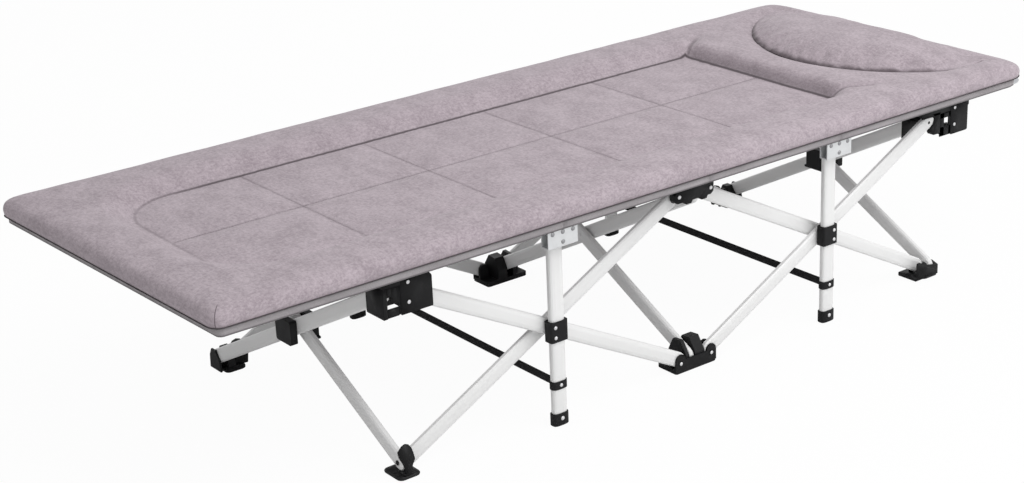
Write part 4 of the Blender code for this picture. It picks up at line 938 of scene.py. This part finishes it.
around = [(askew(x, np.float64(y)), y, z) for x, y, z in rim(0.0026, pad_low.z + 0.0006)]
around_edges = [(k, (k + 1) % len(around)) for k in range(len(around))]
cords.make("pad_piping", around, piping, "pad", edges=around_edges, Thick=0.0008)

stitch_z = pad_low.z + SEAM + 0.0006
quilting = [[(at, y, stitch_z) for y in np.linspace(-0.206, 0.206, 30)] for at in CHANNELS]
quilting.append([(x, 0, stitch_z) for x in np.linspace(PANEL_X[0] + 0.006, PANEL_X[1] - 0.006, 80)])
quilting.append([(PANEL_X[1] - 0.0015, y, stitch_z) for y in np.linspace(-0.205, 0.205, 30)])
points, edges = chain(*quilting)
seam_thread = Finish("heather_thread", Base_Color=(0.26, 0.22, 0.24, 1), Roughness=0.8)
seam_thread.feed("Roughness", seam_thread.noise(900.0, 1.0) * 0.2 + 0.7)
stitches.make("pad_quilting", points, seam_thread, "pad", edges=edges,
              Pitch=0.0052, Long=0.0016, Thick=0.0004)


# Pillow
# Oval cushion sewn into the head of the pad: same heather cloth over loose fill, crowned, its edge turned down
# into the seam.

pillow_low, pillow_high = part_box("pillow")
PILLOW_END, PILLOW_HALF, PILLOW_SEAT = pad_high.x - 0.012, 0.290, pillow_low.z + 0.0005
PILLOW_TALL = pillow_high.z - pillow_low.z
PILLOW_MID = OVAL[0] - OVAL[1] / 2


def pillow_edge(turns):
    """Outline of the pillow as distances from its middle: the oval, cut off with eased corners."""
    c, s = np.cos(turns), np.sin(turns)
    low, high = np.zeros_like(turns), np.full_like(turns, 0.6)
    for _ in range(40):
        reach = (low + high) / 2
        x, y = PILLOW_MID + reach * c, reach * s
        ends = (np.maximum(0, reach * c) / (PILLOW_END - PILLOW_MID)) ** 6 + (np.abs(y) / PILLOW_HALF) ** 6
        within = (np.hypot((x - OVAL[0]) / OVAL[1], y / OVAL[2]) < 1) & (ends < 1)
        low, high = np.where(within, reach, low), np.where(within, high, reach)
    return low


def pillow_points(around, rings):
    """Points from the crown down to the seam, then in under it; both poles are single points."""
    turns = 2 * np.pi * np.arange(around) / around
    edge, rows = pillow_edge(turns), []
    for share in np.sin(np.pi / 2 * np.linspace(0, 1, rings + 1))[1:]:
        x, y = PILLOW_MID + edge * share * np.cos(turns), edge * share * np.sin(turns)
        foot = pad_low.z + valley(x) * head_slope(x) + 0.001 - 0.0045 * smooth(x, 0.76, 0.88)
        steep = 0.60 + 0.75 * smooth(x, 0.74, 0.90)
        dome = PILLOW_SEAT + PILLOW_TALL * (1 - share ** 3.0) ** steep
        rows.append(np.stack([x, y, np.maximum(dome, foot)], -1))
    for share in (0.975, 0.8, 0.55, 0.25):
        x, y = PILLOW_MID + edge * share * np.cos(turns), edge * share * np.sin(turns)
        rows.append(np.stack([x, y, np.full(around, PILLOW_SEAT)], -1))
    crown, navel = [[PILLOW_MID, 0, PILLOW_SEAT + PILLOW_TALL]], [[PILLOW_MID, 0, PILLOW_SEAT]]
    points = np.concatenate([crown] + rows + [navel])
    faces = []
    for k in range(around):
        n = (k + 1) % around
        faces.append((0, 1 + k, 1 + n))
        for row in range(len(rows) - 1):
            a = 1 + row * around
            faces.append((a + k, a + around + k, a + around + n, a + n))
        a = 1 + (len(rows) - 1) * around
        faces.append((a + n, a + k, len(points) - 1))
    return points, faces


pillow_cloth = Finish("pillow_cloth", **BRUSHED)
x, y, z = pillow_cloth.axes()
oval = abs((((x - OVAL[0]) / OVAL[1]) ** 2 + (y / OVAL[2]) ** 2) ** 0.5 - 1.0) * OVAL_REACH
# Painted shade: the mask given here darkens the colour along the pillow's oval seam, fading toward the head end.
heather_looks(pillow_cloth, pillow_cloth.step(oval, 0.001, 0.011, 0.85, 0.0)
              * pillow_cloth.step(x, 0.72, 0.86, 1.0, 0.0))
points, faces = pillow_points(150, 26)
pillow = to_mesh("pillow_cushion", points, faces, pillow_cloth)
rest = points_of(pillow)
seam_z = pad_low.z + valley(rest[:, 0]) * head_slope(rest[:, 0])
fill(pillow, rest[:, 2] < seam_z + 0.0015, 0.006, 3.0)
applied(pillow, "SUBSURF", levels=1, render_levels=1)
final = points_of(pillow)
uneven = np.array([noise.noise(Vector(p) * 8.0) + 0.5 * noise.noise(Vector(p) * 26.0) for p in final])
final[:, 2] += 0.0012 * uneven * smooth(final[:, 2], PILLOW_SEAT + 0.004, PILLOW_SEAT + 0.015)
put_points(pillow, final)
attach(pillow, "pad")
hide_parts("pillow")
